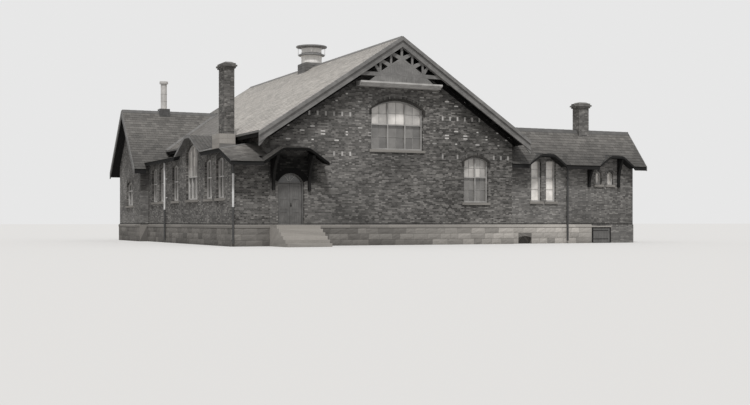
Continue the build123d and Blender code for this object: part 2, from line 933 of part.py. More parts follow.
# Stove pipe on the ridge of the cross wing, on a square box
pipe_place = (-nave_side - pipe_from_nave, left_ridge_y)
with BuildPart() as stove_pipe:
    with BuildSketch(Plane.XY.offset(left_top(left_ridge_y + pipe_box))):
        with Locations(pipe_place):
            Rectangle(pipe_box, pipe_box)
    extrude(amount=pipe_box_top - left_top(left_ridge_y + pipe_box))
    with BuildSketch(Plane.XY.offset(pipe_box_top)):
        with Locations(pipe_place):
            Circle(pipe_radius)
    extrude(amount=pipe_top - pipe_box_top)
    with BuildSketch(Plane.XY.offset(pipe_top)):
        with Locations(pipe_place):
            Circle(pipe_radius + pipe_collar)
    extrude(amount=pipe_collar_height)
    add(left_wing_mass(), mode=Mode.SUBTRACT)
stove_pipe.part.label = "stove_pipe"
export_step(stove_pipe.part, "parts/stove_pipe.step")

# Aisle walls
with BuildPart() as aisle_front_wall:
    with BuildSketch(Plane.YZ.offset(aisle_side)):
        Polygon(
            (0, plinth_height), (wall, plinth_height),
            (wall, front_eave_height + front_fall * (front_reach + wall) - aisle_roof_depth),
            (0, front_eave_height + front_fall * front_reach - aisle_roof_depth),
            align=None,
        )
    extrude(amount=aisle_width)
    add(aisle_mass(aisle_roof_depth), mode=Mode.INTERSECT)
aisle_front_wall.part.label = "aisle_front_wall"
export_step(aisle_front_wall.part, "parts/aisle_front_wall.step")

with BuildPart() as aisle_side_wall:
    with BuildSketch(Plane.XZ.offset(-left_wing_front)):
        Polygon(
            (aisle_side, plinth_height), (aisle_side + wall, plinth_height),
            (aisle_side + wall, aisle_under(aisle_side + wall)), (aisle_side, aisle_under(aisle_side)),
            align=None,
        )
    extrude(amount=left_wing_front - wall)
    add(aisle_mass(aisle_roof_depth), mode=Mode.INTERSECT)
    with BuildSketch(Plane.YZ.offset(aisle_side)):
        with Locations((dormer_centre, aisle_eave_height)):
            add(raised_eave_gap(*dormer_shape, dormer_gap))
    extrude(amount=wall)
    with BuildSketch(Plane.YZ.offset(aisle_side)):
        for opening in [*aisle_windows, tall_window]:
            add(arched(*opening))
    extrude(amount=wall, mode=Mode.SUBTRACT)
aisle_side_wall.part.label = "aisle_side_wall"
export_step(aisle_side_wall.part, "parts/aisle_side_wall.step")


def gutter_mass():
    with BuildPart() as mass:
        with BuildSketch(Plane.XZ.offset(-(rear_face + verge_reach))):
            for hand in (-1, 1):
                with Locations((hand * (nave_eave + gutter_width / 2), nave_top(nave_eave))):
                    Rectangle(gutter_width, gutter_depth, align=(Align.CENTER, Align.MAX))
        extrude(amount=nave_length + 2 * verge_reach)
    return mass.part


# Low roof of the aisle, falling to the side and to the front
with BuildPart() as aisle_roof:
    add(aisle_mass(0))
    add(aisle_mass(aisle_roof_depth), mode=Mode.SUBTRACT)
    add(left_wing_mass(), mode=Mode.SUBTRACT)
    with BuildSketch(Plane.YZ.offset(aisle_eave)):
        with Locations((dormer_centre, aisle_eave_height)):
            add(raised_eave_gap(*dormer_shape, dormer_gap))
    extrude(amount=-nave_side - nave_eave_reach - gutter_width - aisle_eave, mode=Mode.SUBTRACT)
    with BuildSketch(Plane.XY.offset(front_eave_height - aisle_roof_depth)):
        hood_start = door_centre - hood_half
        with Locations((hood_start, 0)):
            Rectangle(-nave_side - hood_start, front_reach, align=(Align.MIN, Align.MAX))
    extrude(amount=left_ridge_height, mode=Mode.SUBTRACT)
aisle_roof.part.label = "aisle_roof"
export_step(aisle_roof.part, "parts/aisle_roof.step")

# Raised eave over the tall window, run back into the nave's roof
with BuildPart() as aisle_dormer:
    with BuildSketch(Plane.YZ.offset(aisle_eave)):
        with Locations((dormer_centre, aisle_eave_height)):
            add(raised_eave(*dormer_shape))
    extrude(amount=-nave_side - aisle_eave)
    add(aisle_mass(0), mode=Mode.SUBTRACT)
    add(nave_mass(0, rear_face), mode=Mode.SUBTRACT)
aisle_dormer.part.label = "aisle_dormer"
export_step(aisle_dormer.part, "parts/aisle_dormer.step")

# Cross wing: gabled end wall, short side walls and roof slopes
with BuildPart() as left_wing_end_wall:
    with BuildSketch(Plane.YZ.offset(left_end)):
        Polygon(
            (left_wing_front, plinth_height), (left_wing_back, plinth_height),
            (left_wing_back, left_under(left_wing_back)), (left_ridge_y, left_under(left_ridge_y)),
            (left_wing_front, left_under(left_wing_front)),
            align=None,
        )
        add(arched(*wing_window), mode=Mode.SUBTRACT)
    extrude(amount=wall)
left_wing_end_wall.part.label = "left_wing_end_wall"
export_step(left_wing_end_wall.part, "parts/left_wing_end_wall.step")

with BuildPart() as left_wing_side_walls:
    for outer, inner, length in (
        (left_wing_front, left_wing_front + wall, left_wing_proud),
        (left_wing_back, left_wing_back - wall, -left_end - wall - nave_side),
    ):
        with BuildSketch(Plane.YZ.offset(left_end + wall)):
            Polygon(
                (outer, plinth_height), (inner, plinth_height),
                (inner, left_under(inner)), (outer, left_under(outer)),
                align=None,
            )
        extrude(amount=length)
left_wing_side_walls.part.label = "left_wing_side_walls"
export_step(left_wing_side_walls.part, "parts/left_wing_side_walls.step")

wing_front_eave = left_wing_front - left_eave_reach
wing_back_eave = left_wing_back + left_eave_reach
for name, eave in (("left_wing_roof_front", wing_front_eave), ("left_wing_roof_rear", wing_back_eave)):
    with BuildPart() as wing_slope:
        with BuildSketch(Plane.YZ.offset(left_verge)):
            Polygon(
                (left_ridge_y, left_ridge_height), (eave, left_top(eave)),
                (eave, left_under(eave)), (left_ridge_y, left_under(left_ridge_y)),
                align=None,
            )
        extrude(amount=-left_verge)
        add(nave_mass(-verge_reach, rear_face + verge_reach), mode=Mode.SUBTRACT)
        add(gutter_mass(), mode=Mode.SUBTRACT)
        with BuildSketch(Plane.XZ.offset(-left_wing_front)):
            Polygon(
                (aisle_eave, 0), (-nave_side, 0), (-nave_side, aisle_under(-nave_side)),
                (aisle_eave, aisle_under(aisle_eave)),
                align=None,
            )
        extrude(amount=left_eave_reach, mode=Mode.SUBTRACT)
    wing_slope.part.label = name
    export_step(wing_slope.part, f"parts/{name}.step")

# Verge boards on the ends of the cross wing and of the right wing
with BuildPart() as wing_verge_boards:
    with BuildSketch(Plane.YZ.offset(left_verge - verge_thick)):
        Polygon(
            (wing_front_eave, left_top(wing_front_eave)), (left_ridge_y, left_ridge_height),
            (wing_back_eave, left_top(wing_back_eave)),
            (wing_back_eave, left_top(wing_back_eave) - left_verge_depth),
            (left_ridge_y, left_ridge_height - left_verge_depth),
            (wing_front_eave, left_top(wing_front_eave) - left_verge_depth),
            align=None,
        )
    extrude(amount=verge_thick)
    with BuildSketch(Plane.YZ.offset(right_verge)):
        Polygon(
            (right_eave_y, right_top(right_eave_y)), (right_ridge_y, right_ridge_height),
            (right_rear_y, right_top(right_rear_y)),
            (right_rear_y, right_top(right_rear_y) - right_verge_depth),
            (right_ridge_y, right_ridge_height - right_verge_depth),
            (right_eave_y, right_top(right_eave_y) - right_verge_depth),
            align=None,
        )
    extrude(amount=verge_thick)
wing_verge_boards.part.label = "wing_verge_boards"
export_step(wing_verge_boards.part, "parts/wing_verge_boards.step")

# Right wing: street wall, corner bay, end wall and rear wall
with BuildPart() as right_wing_front_wall:
    with BuildSketch(Plane.YZ.offset(nave_side)):
        Polygon(
            (right_wing_front, plinth_height), (right_wing_front + wall, plinth_height),
            (right_wing_front + wall, right_under(right_wing_front + wall)),
            (right_wing_front, right_under(right_wing_front)),
            align=None,
        )
    extrude(amount=bay_start - nave_side)
    with BuildSketch(Plane.XZ.offset(-right_wing_front)):
        add(arched(*twin_left))
        add(arched(*twin_right))
    extrude(amount=-wall, mode=Mode.SUBTRACT)
right_wing_front_wall.part.label = "right_wing_front_wall"
export_step(right_wing_front_wall.part, "parts/right_wing_front_wall.step")

with BuildPart() as corner_bay_wall:
    with BuildSketch(Plane.YZ.offset(bay_start)):
        Polygon(
            (right_wing_front - plinth_proud, 0), (right_wing_front + wall, 0),
            (right_wing_front + wall, right_under(right_wing_front + wall)),
            (right_wing_front, right_under(right_wing_front)), (right_wing_front, plinth_height),
            (right_wing_front - plinth_proud, plinth_height),
            align=None,
        )
    extrude(amount=corner_bay_length)
    with BuildSketch(Plane.XZ.offset(-right_wing_front)):
        add(arched(*left_light))
        add(arched(*right_light))
    extrude(amount=-wall, mode=Mode.SUBTRACT)
corner_bay_wall.part.label = "corner_bay_wall"
export_step(corner_bay_wall.part, "parts/corner_bay_wall.step")

with BuildPart() as right_wing_end_wall:
    with BuildSketch(Plane.YZ.offset(right_end - wall)):
        Polygon(
            (right_wing_front + wall, plinth_height), (right_wing_back, plinth_height),
            (right_wing_back, right_under(right_wing_back)), (right_ridge_y, right_under(right_ridge_y)),
            (right_wing_front + wall, right_under(right_wing_front + wall)),
            align=None,
        )
        add(arched(*end_window), mode=Mode.SUBTRACT)
    extrude(amount=wall)
right_wing_end_wall.part.label = "right_wing_end_wall"
export_step(right_wing_end_wall.part, "parts/right_wing_end_wall.step")

with BuildPart() as right_wing_rear_wall:
    with BuildSketch(Plane.YZ.offset(nave_side)):
        Polygon(
            (right_wing_back - wall, plinth_height), (right_wing_back, plinth_height),
            (right_wing_back, right_under(right_wing_back)),
            (right_wing_back - wall, right_under(right_wing_back - wall)),
            align=None,
        )
    extrude(amount=right_end - wall - nave_side)
    with BuildSketch(Plane.XZ.offset(wall - right_wing_back)):
        for opening in wing_rear_windows:
            add(arched(*opening))
    extrude(amount=-wall, mode=Mode.SUBTRACT)
right_wing_rear_wall.part.label = "right_wing_rear_wall"
export_step(right_wing_rear_wall.part, "parts/right_wing_rear_wall.step")

# Steep street slope of the right wing, with the eave raised over its windows
brow_shape = (brow_half, brow_crown_half, brow_rise, brow_bend, brow_skin)
eave_level = right_top(right_eave_y)
with BuildPart() as right_wing_roof_front:
    with BuildSketch(Plane.YZ.offset(nave_side - ridge_height / 2)):
        Polygon(
            (right_ridge_y, right_ridge_height), (right_eave_y, eave_level),
            (right_eave_y, right_under(right_eave_y)), (right_ridge_y, right_under(right_ridge_y)),
            align=None,
        )
    extrude(amount=right_verge - nave_side + ridge_height / 2)
    for centre in brow_centres:
        with BuildSketch(Plane.XZ.offset(-right_wing_front)):
            with Locations((centre, eave_level)):
                add(raised_eave_gap(*brow_shape, brow_rise))
        extrude(amount=right_eave_reach, mode=Mode.SUBTRACT)
        with BuildSketch(Plane.XZ.offset(-right_wing_front)):
            with Locations((centre, eave_level)):
                add(raised_eave(*brow_shape))
        extrude(amount=right_eave_reach)
    add(nave_mass(-verge_reach, rear_face), mode=Mode.SUBTRACT)
    add(gutter_mass(), mode=Mode.SUBTRACT)
right_wing_roof_front.part.label = "right_wing_roof_front"
export_step(right_wing_roof_front.part, "parts/right_wing_roof_front.step")

with BuildPart() as right_wing_roof_rear:
    with BuildSketch(Plane.YZ.offset(nave_side - ridge_height / 2)):
        Polygon(
            (right_ridge_y, right_ridge_height), (right_rear_y, right_top(right_rear_y)),
            (right_rear_y, right_under(right_rear_y)), (right_ridge_y, right_under(right_ridge_y)),
            align=None,
        )
    extrude(amount=right_verge - nave_side + ridge_height / 2)
    add(nave_mass(-verge_reach, rear_face), mode=Mode.SUBTRACT)
    add(gutter_mass(), mode=Mode.SUBTRACT)
right_wing_roof_rear.part.label = "right_wing_roof_rear"
export_step(right_wing_roof_rear.part, "parts/right_wing_roof_rear.step")


# Curved brackets: each is a plate with a hollowed front, its back on the wall
def bracket_face(back, foot, butt_top, tip_top, reach, tip_depth):
    tip = back - reach
    toe = back - bracket_butt
    tip_foot = tip_top - tip_depth
    belly = (toe - reach * bracket_belly, foot + (tip_foot - foot) * bracket_shoulder)
    with BuildSketch() as face:
        with BuildLine():
            Polyline((toe, foot), (back, foot), (back, butt_top), (tip, tip_top), (tip, tip_foot))
            ThreePointArc((tip, tip_foot), belly, (toe, foot))
        make_face()
    return face.sketch


tip_y = right_wing_front - eave_bracket_reach
brow_soffit = eave_level + brow_rise - brow_skin
with BuildPart() as eave_brackets:
    for across, butt_top, tip_top in (
        (eave_bracket_from_bay[0], right_under(right_wing_front), right_under(tip_y)),
        (eave_bracket_from_bay[1], brow_soffit, brow_soffit),
    ):
        with BuildSketch(Plane.YZ.offset(bay_start + across)):
            add(bracket_face(
                right_wing_front, eave_level - eave_bracket_length, butt_top, tip_top,
                eave_bracket_reach, eave_bracket_tip,
            ))
        extrude(amount=bracket_thick)
    with BuildSketch(Plane.XZ.offset(-right_wing_front)):
        with Locations((brow_centres[1], eave_level)):
            add(raised_eave(*brow_shape))
    extrude(amount=right_eave_reach, mode=Mode.SUBTRACT)
eave_brackets.part.label = "eave_brackets"
export_step(eave_brackets.part, "parts/eave_brackets.step")

# Hood over the entrance, carried on two brackets
hood_lift = front_eave_height + hood_fall * front_reach
hood_slant = sqrt(1 + hood_fall ** 2)
with BuildPart() as entrance_hood:
    with BuildSketch(Plane.XZ):
        with Locations((door_centre, hood_lift)):
            add(raised_eave(hood_half, hood_crown_half, hood_rise, hood_bend, hood_skin))
    extrude(amount=front_reach * hood_slant, dir=(0, -1, -hood_fall))
entrance_hood.part.label = "entrance_hood"
export_step(entrance_hood.part, "parts/entrance_hood.step")

with BuildPart() as hood_brackets:
    for hand in (-1, 1):
        middle = door_centre + hand * bracket_spread
        slope = hood_rise / (hood_half - hood_crown_half)
        drop = slope * (bracket_spread + bracket_thick / 2 - hood_crown_half)
        butt_top = hood_lift + hood_rise - hood_skin - drop
        with BuildSketch(Plane.YZ.offset(middle - bracket_thick / 2)):
            add(bracket_face(
                0, door_spring - bracket_drop, butt_top, butt_top - hood_fall * bracket_reach,
                bracket_reach, bracket_tip,
            ))
        extrude(amount=bracket_thick)
hood_brackets.part.label = "hood_brackets"
export_step(hood_brackets.part, "parts/hood_brackets.step")

# Door frame with a transom under the fanlight
frame_back = door_reveal + door_frame_depth
door_clear = door_width - 2 * door_frame_width
with BuildPart() as door_frame:
    with BuildSketch(Plane.XZ.offset(-frame_back)):
        add(arched(door_centre, plinth_height, door_spring, door_width, door_rise))
        add(
            arched(door_centre, plinth_height, door_spring, door_clear, door_rise - door_frame_width),
            mode=Mode.SUBTRACT,
        )
        with Locations((door_centre, door_spring)):
            Rectangle(door_width, transom_height, align=(Align.CENTER, Align.MAX))
    extrude(amount=door_frame_depth)
door_frame.part.label = "door_frame"
export_step(door_frame.part, "parts/door_frame.step")

# Panelled door leaves, each with two strap hinges on its inner face
leaf_foot = plinth_height + leaf_foot_gap
leaf_top = door_spring - transom_height - leaf_gap
leaf_height = leaf_top - leaf_foot
leaf_width = (door_clear - 3 * leaf_gap) / 2
hinge_y = frame_back + hinge_set_back
hinge_bore = hinge_pin_radius + hinge_play
panel_height = (leaf_height - (panel_rows + 1) * panel_stile) / panel_rows
for side, hand in (("left", -1), ("right", 1)):
    middle = door_centre + hand * (leaf_gap / 2 + leaf_width / 2)
    hinge_x = door_centre + hand * (door_clear - leaf_gap) / 2
    with BuildPart() as leaf:
        with BuildSketch(Plane.XZ.offset(-frame_back)):
            with Locations((middle, leaf_foot)):
                Rectangle(leaf_width, leaf_height, align=(Align.CENTER, Align.MIN))
        extrude(amount=leaf_thick)
        for face_y, outward in ((frame_back - leaf_thick, -1), (frame_back, 1)):
            with BuildSketch(Plane.XZ.offset(-face_y)):
                with Locations((middle, leaf_foot + leaf_height / 2)):
                    with GridLocations(0, panel_height + panel_stile, 1, panel_rows):
                        Rectangle(leaf_width - 2 * panel_stile, panel_height)
            extrude(amount=outward * panel_sink, mode=Mode.SUBTRACT)
    leaf.part.label = f"door_{side}"
    export_step(leaf.part, f"parts/door_{side}.step")

    with BuildPart() as straps:
        for level in hinge_levels:
            with BuildSketch(Plane.XY.offset(plinth_height + level)):
                with Locations((hinge_x - hand * strap_length / 2, frame_back)):
                    Rectangle(strap_length, strap_thick, align=(Align.CENTER, Align.MIN))
                with Locations((hinge_x, hinge_y)):
                    Circle(hinge_eye_radius)
                    Circle(hinge_bore, mode=Mode.SUBTRACT)
            extrude(amount=hinge_eye_height)
    straps.part.label = f"door_{side}_straps"
    export_step(straps.part, f"parts/door_{side}_straps.step")

# Pintles on the back of the door frame, which the strap eyes turn on
with BuildPart() as door_pintles:
    for hand in (-1, 1):
        hinge_x = door_centre + hand * (door_clear - leaf_gap) / 2
        frame_edge = door_centre + hand * door_clear / 2
        for level in hinge_levels:
            eye_foot = plinth_height + level - hinge_play
            with BuildSketch(Plane.XY.offset(eye_foot - pintle_arm)):
                with Locations((hinge_x, hinge_y)):
                    Circle(hinge_pin_radius)
                    Rectangle(2 * hinge_pin_radius, 2 * hinge_pin_radius)
                with Locations(((frame_edge + hinge_x) / 2 + hand * hinge_set_back, hinge_y)):
                    Rectangle(2 * hinge_set_back, 2 * hinge_pin_radius)
            extrude(amount=pintle_arm)
            with BuildSketch(Plane.XY.offset(eye_foot)):
                with Locations((hinge_x, hinge_y)):
                    Circle(hinge_pin_radius)
            extrude(amount=hinge_eye_height)
            plate_x = frame_edge + hand * door_frame_width / 2
            with BuildSketch(Plane.XY.offset(eye_foot - 2 * pintle_arm)):
                with Locations((plate_x, frame_back)):
                    plate_width = door_frame_width - 2 * leaf_gap
                    Rectangle(plate_width, hinge_set_back, align=(Align.CENTER, Align.MIN))
            extrude(amount=3 * pintle_arm)
door_pintles.part.label = "door_pintles"
export_step(door_pintles.part, "parts/door_pintles.step")

# Stone steps up to the door
with BuildPart() as entrance_steps:
    riser = (plinth_height - landing_gap) / step_count
    for step in range(step_count):
        run = landing + tread * (step_count - 1 - step)
        with BuildSketch(Plane.XY.offset(riser * step)):
            with Locations((door_centre, -plinth_proud)):
                Rectangle(steps_width, run, align=(Align.CENTER, Align.MAX))
        extrude(amount=riser)
entrance_steps.part.label = "entrance_steps"
export_step(entrance_steps.part, "parts/entrance_steps.step")

# Window frames and glass, wall by wall
front_set = [(centre_window, centre_mullions, centre_transom), (nave_window, (0,), nave_transom)]
street_set = [
    (twin_left, (), twin_transom), (twin_right, (), twin_transom),
    (left_light, (), 0), (right_light, (), 0),
]
aisle_set = [(opening, (0,), aisle_transom) for opening in aisle_windows]
aisle_set.append((tall_window, tall_mullions, tall_transom))
side_set = [(opening, (0,), nave_transom) for opening in side_windows]
rear_set = [(opening, (0,), nave_transom) for opening in rear_windows]
wing_rear_set = [(opening, (0,), wing_rear_transom) for opening in wing_rear_windows]
glazing = {
    "front": [(Plane.XZ.offset(-glass_back), 1, front_set)],
    "right_wing": [
        (Plane.XZ.offset(-glass_back - right_wing_front), 1, street_set),
        (Plane.YZ.offset(right_end - glass_back), 1, [(end_window, (0,), end_transom)]),
        (Plane.XZ.offset(glass_back - right_wing_back), -1, wing_rear_set),
    ],
    "left": [
        (Plane.YZ.offset(aisle_side + glass_back), -1, aisle_set),
        (Plane.YZ.offset(left_end + glass_back), -1, [(wing_window, (0,), wing_transom)]),
    ],
    "nave_back": [
        (Plane.YZ.offset(nave_side - glass_back), 1, side_set),
        (Plane.XZ.offset(glass_back - rear_face), -1, rear_set),
    ],
}
for side, walls in glazing.items():
    with BuildPart() as frames:
        for plane, outward, windows in walls:
            with BuildSketch(plane):
                for opening, mullions, transom in windows:
                    add(window_frame(opening, mullions, transom))
            extrude(amount=outward * frame_depth)
    frames.part.label = f"{side}_window_frames"
    export_step(frames.part, f"parts/{side}_window_frames.step")
    with BuildPart() as glass:
        for plane, outward, windows in walls:
            with BuildSketch(plane):
                for opening, mullions, transom in windows:
                    add(arched(*opening))
            extrude(amount=-outward * glass_thick)
        if side == "front":
            with BuildSketch(Plane.XZ.offset(-frame_back)):
                add(arched(*fanlight))
            extrude(amount=-glass_thick)
    glass.part.label = f"{side}_glass"
    export_step(glass.part, f"parts/{side}_glass.step")

# Brick label moulds over the two nave windows on the street
with BuildPart() as label_moulds:
    with BuildSketch(Plane.XZ):
        add(label_band(centre_window))
        add(label_band(nave_window))
    extrude(amount=label_proud)
label_moulds.part.label = "label_moulds"
export_step(label_moulds.part, "parts/label_moulds.step")

# Stone sills on the wall faces
with BuildPart() as window_dressings:
    for plane, outward, windows in (
        (Plane.XZ, 1, [centre_window, nave_window]),
        (Plane.XZ.offset(-right_wing_front), 1, [twin_left, twin_right, left_light, right_light]),
        (Plane.YZ.offset(nave_side), 1, side_windows),
        (Plane.YZ.offset(right_end), 1, [end_window]),
        (Plane.YZ.offset(aisle_side), -1, [*aisle_windows, tall_window]),
        (Plane.YZ.offset(left_end), -1, [wing_window]),
        (Plane.XZ.offset(-rear_face), -1, rear_windows),
        (Plane.XZ.offset(-right_wing_back), -1, wing_rear_windows),
    ):
        with BuildSketch(plane):
            for opening in windows:
                add(sill_strip(opening))
        extrude(amount=outward * sill_proud)
window_dressings.part.label = "window_dressings"
export_step(window_dressings.part, "parts/window_dressings.step")

# Rainwater pipes from the eaves to near the ground, each strapped to its wall
pipe_off = downpipe_radius + downpipe_stand + plinth_proud
corner_pipe_back = front_reach - pipe_off - downpipe_radius
corner_pipe_head = front_eave_height + front_fall * corner_pipe_back - aisle_roof_depth
aisle_pipe_y = back_aisle_places[0] + aisle_window_width / 2 + aisle_downpipe_share * back_aisle_piers[1]
right_pipe_x = bay_start + right_downpipe_from_bay
right_pipe_y = right_wing_front - pipe_off
pipe_runs = [
    ((aisle_side + corner_downpipe_from_side, -pipe_off), corner_pipe_head, (0, 1)),
    ((aisle_side - pipe_off, aisle_pipe_y), aisle_under(aisle_eave), (1, 0)),
    ((right_pipe_x, right_pipe_y), right_under(right_pipe_y - downpipe_radius), (0, 1)),
]
with BuildPart() as downpipes:
    for (x, y), head, (to_x, to_y) in pipe_runs:
        with BuildSketch(Plane.XY.offset(downpipe_foot)):
            with Locations((x, y)):
                Circle(downpipe_radius)
        extrude(amount=head - downpipe_foot)
        for level in downpipe_straps:
            with BuildSketch(Plane.XY.offset(level)):
                with Locations((x + to_x * pipe_off / 2, y + to_y * pipe_off / 2)):
                    strap = downpipe_strap_width
                    Rectangle(to_x * pipe_off + to_y * strap, to_y * pipe_off + to_x * strap)
            extrude(amount=downpipe_strap_height)
downpipes.part.label = "downpipes"
export_step(downpipes.part, "parts/downpipes.step")
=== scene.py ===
import json
import math
import random

import bpy
import numpy as np
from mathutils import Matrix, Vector, geometry
from mathutils.bvhtree import BVHTree

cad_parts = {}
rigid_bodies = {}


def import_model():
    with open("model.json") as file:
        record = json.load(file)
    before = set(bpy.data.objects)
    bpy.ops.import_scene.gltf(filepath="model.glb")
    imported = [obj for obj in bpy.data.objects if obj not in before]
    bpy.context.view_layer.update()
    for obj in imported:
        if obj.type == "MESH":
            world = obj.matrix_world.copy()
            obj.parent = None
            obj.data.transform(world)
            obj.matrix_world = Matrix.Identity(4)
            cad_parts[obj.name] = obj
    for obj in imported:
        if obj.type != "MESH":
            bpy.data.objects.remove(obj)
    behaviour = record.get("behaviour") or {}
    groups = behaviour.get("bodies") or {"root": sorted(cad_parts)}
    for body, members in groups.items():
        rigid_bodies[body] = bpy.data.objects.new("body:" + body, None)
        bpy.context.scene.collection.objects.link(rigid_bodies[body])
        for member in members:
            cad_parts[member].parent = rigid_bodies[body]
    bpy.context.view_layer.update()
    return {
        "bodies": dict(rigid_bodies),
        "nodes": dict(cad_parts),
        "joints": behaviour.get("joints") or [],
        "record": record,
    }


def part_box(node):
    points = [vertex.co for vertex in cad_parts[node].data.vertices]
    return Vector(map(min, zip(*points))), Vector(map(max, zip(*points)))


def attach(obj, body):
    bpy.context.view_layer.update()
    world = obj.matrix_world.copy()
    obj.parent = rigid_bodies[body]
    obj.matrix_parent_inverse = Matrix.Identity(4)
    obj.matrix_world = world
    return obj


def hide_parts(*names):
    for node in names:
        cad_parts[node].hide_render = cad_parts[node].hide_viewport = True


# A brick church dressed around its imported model: metres, X along the street, Y back, Z up.
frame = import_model()
nodes = frame["nodes"]
draw = random.Random(11)

FRONT, BACK, LEFT, RIGHT = (0, -1, 0), (0, 1, 0), (-1, 0, 0), (1, 0, 0)
UP = Vector((0, 0, 1))
tolerance = 0.0015
seam = 0.004
facing = 0.9995
about_facing = 0.97
row_edge = 0.002
sharpest_turn = 0.3

# Camera, set where the photograph was taken
camera_place = Vector((-25.84, -52.49, 1.2))
camera_turn = math.radians(25.07)
camera_lens = 53.9
camera_sensor = 36.0
camera_far = 2000
horizon_drop = 19.5
image_width = 750

# Light
sun_strength = 2.5
sun_tilt = 31
sun_turn = -24
sun_width = 7
sky_light = 0.48
sky_seen = 0.80
floor_seen = 0.66
floor_bounce = 0.42
floor_reach = 600.0

# Brickwork
course = 0.075
joint = 0.010
stretcher = 0.25
header = 0.125
brick_proud = 0.007
brick_uneven = (0.8, 1.2)
stack_area = 0.02
bay_area = 1.0
ring_depth = 0.24
narrow_ring_depth = 0.115
narrow_width = 0.9
ring_brick = 0.075
ring_proud = 0.010
ring_inset = 0.005
ring_fewest = 5
smallest_brick = 0.035
jamb_back = 0.02
jamb_proud = 0.005

# Pale bricks in the front gable: two lozenge bands, each with a dotted row below it
pale_top = 8.04
pale_row = 0.335
pale_pitch = 1.3
pale_start = 0.88
pale_rows = ((0, 0, 0), (1, 0.5, 1), (2, 0, 0), (6, 0, 0), (7, 0.5, 1), (8, 0, 0))
pale_steps = 6
dot_rows = (4, 10)
dot_pitch = 0.45
dot_steps = 14
pale_lost = 0.06
pale_faded = 2.3
faded_tone = 0.4
upright = (0.10, 0.225)
upright_tone = 0.6

# Painted shade and shadow, darker parts and weather
# Painted shade: the bricks and mortar round the hood of the door are blackened for the deep shadow under it
hood_shade_centre = (-5.9, 3.9)
hood_shade_reach = (1.5, 0.75)
hood_shade_edge = 1.15
hood_shade_fade = 2.2
hood_shade_uneven = (0.8, 1.0)
# Where the left slopes grow darker low down towards the back, and over how far
rear_dark_line = (3.5, 3.17, 2.5)
# Where no pale uprights are set, in the painted shade under the hood
hood_shade_bounds = (1.9, 5.0)
# Painted shadow on the bricks close under the verges
verge_shadow_reach = 0.30
verge_shadow_tone = -0.55
verge_shadow_uneven = (0.7, 1.0)
left_weather = 0.025
left_fade = 3.0
# The lowest course of bricks over the stone base is darker
foot_course_tone = -0.65
foot_course_reach = 0.2

# Stone base
base_top = 1.05
stone_course = 0.30
stone_joint = 0.012
stone_proud = 0.016
stone_rough = 0.008
stone_widths = (0.45, 0.95)
stone_least = 0.35
stone_edge = 0.01
stone_sooty = (2.0, 10.0)
aisle_base_area = 8
face_step = (0.16, 0.11)
edge_share = 0.35
cap_height = 0.15
cap_length = 1.1
cap_profile = ((0.0, 0.008 - cap_height), (0.028, 0.008 - cap_height), (0.028, -0.035), (-0.05, 0.02))
block_length = 0.5
block_joint = 0.004
block_proud = 0.012

# Roof covering
slate_exposure = 0.21
slate_width = 0.30
slate_gap = 0.006
slate_gap_uneven = (0.3, 0.8)
slate_thick = 0.014
slate_uneven = (0.85, 1.2)
slate_head = 0.5
slate_lip = 0.006
slate_least = 0.05
slate_slip = 0.012
loose_slip = 0.05
loose_share = 0.02
eave_drop = 0.03
row_share = 0.3
draped_lip = 0.008
draped_size = 0.985
draped_spread = 0.12
draped_least = 0.2
draped_steepest = 0.15
drop_from = 30.0
dormer_slate = (0.19, 0.22)
dormer_inset = 0.004
hood_slate = 0.15
hood_rows = 5
hood_inset = 0.003
brow_slate = 0.15
brow_columns = 17
brow_inset = 0.004
ridge_tile = 0.46
ridge_wing = 0.16
ridge_rise = 0.035
ridge_thick = 0.02
ridge_top = 0.03
ridge_laps = ((0.004, 0.012), (0.012, 0.02))
ridge_run_in = (0.1, 1.1)
lead_wing = 0.14
lead_thick = 0.022

# Windows
window_reveal = 0.12
pane_width = 0.42
pane_height = 0.55
pane_lean = 0.004
pane_proud = 0.003
pane_behind = (0.05, 0.12)
pane_uneven = 0.05
frame_area = 0.25
glass_area = 0.01
muntin = 0.014
muntin_deep = 0.022
fanlight_sill = 3.0
fanlight_turns = (-40, 0, 40)
fanlight_half = 0.012
fanlight_deep = 0.02
# Painted reflection of the fanlight's pane
fanlight_reflection = 0.15
wing_windows_x = 8
nave_window_x = 3
nave_window_split = 3.6
centre_window_split = 6.3
aisle_window_split = 3.5
# Painted reflection: how bright the panes of each window look, from dark at 0 to bright at 1
wing_pane_reflection = 1.0
nave_pane_reflections = (0.75, 0.5)
centre_pane_reflections = (0.8, 0.47)
aisle_pane_reflections = (0.85, 0.45, 0.3)
dormer_reach = 1.0
plain_pane_reflection = 0.3

# Places on the building
left_wing_y = 16.8
brow_places = (9.33, 14.05)
brow_half = 1.22
brow_run = 1.0
brow_clear = 0.012
nave_slab = 0.28
wing_slab = 0.24
vent_radius = 0.62
vent_ring = 0.8
pipe_radius = 0.195
pedestal_top = 5.75
iron_foot = 1.93
# Painted shadow under the eave: the front downpipe is dark above this height, for pipes in front of this
# depth
pipe_eave_shadow = (3.56, 5.0)
stove_box_top = 8.56
vent_dark = ((11.42, 11.60), (11.885, 12.2))
aisle_top = 4.9
aisle_inside = (6, 4.8)
aisle_front_inside = (-7.5, -0.8, 4.2)
dormer_y = 7.0

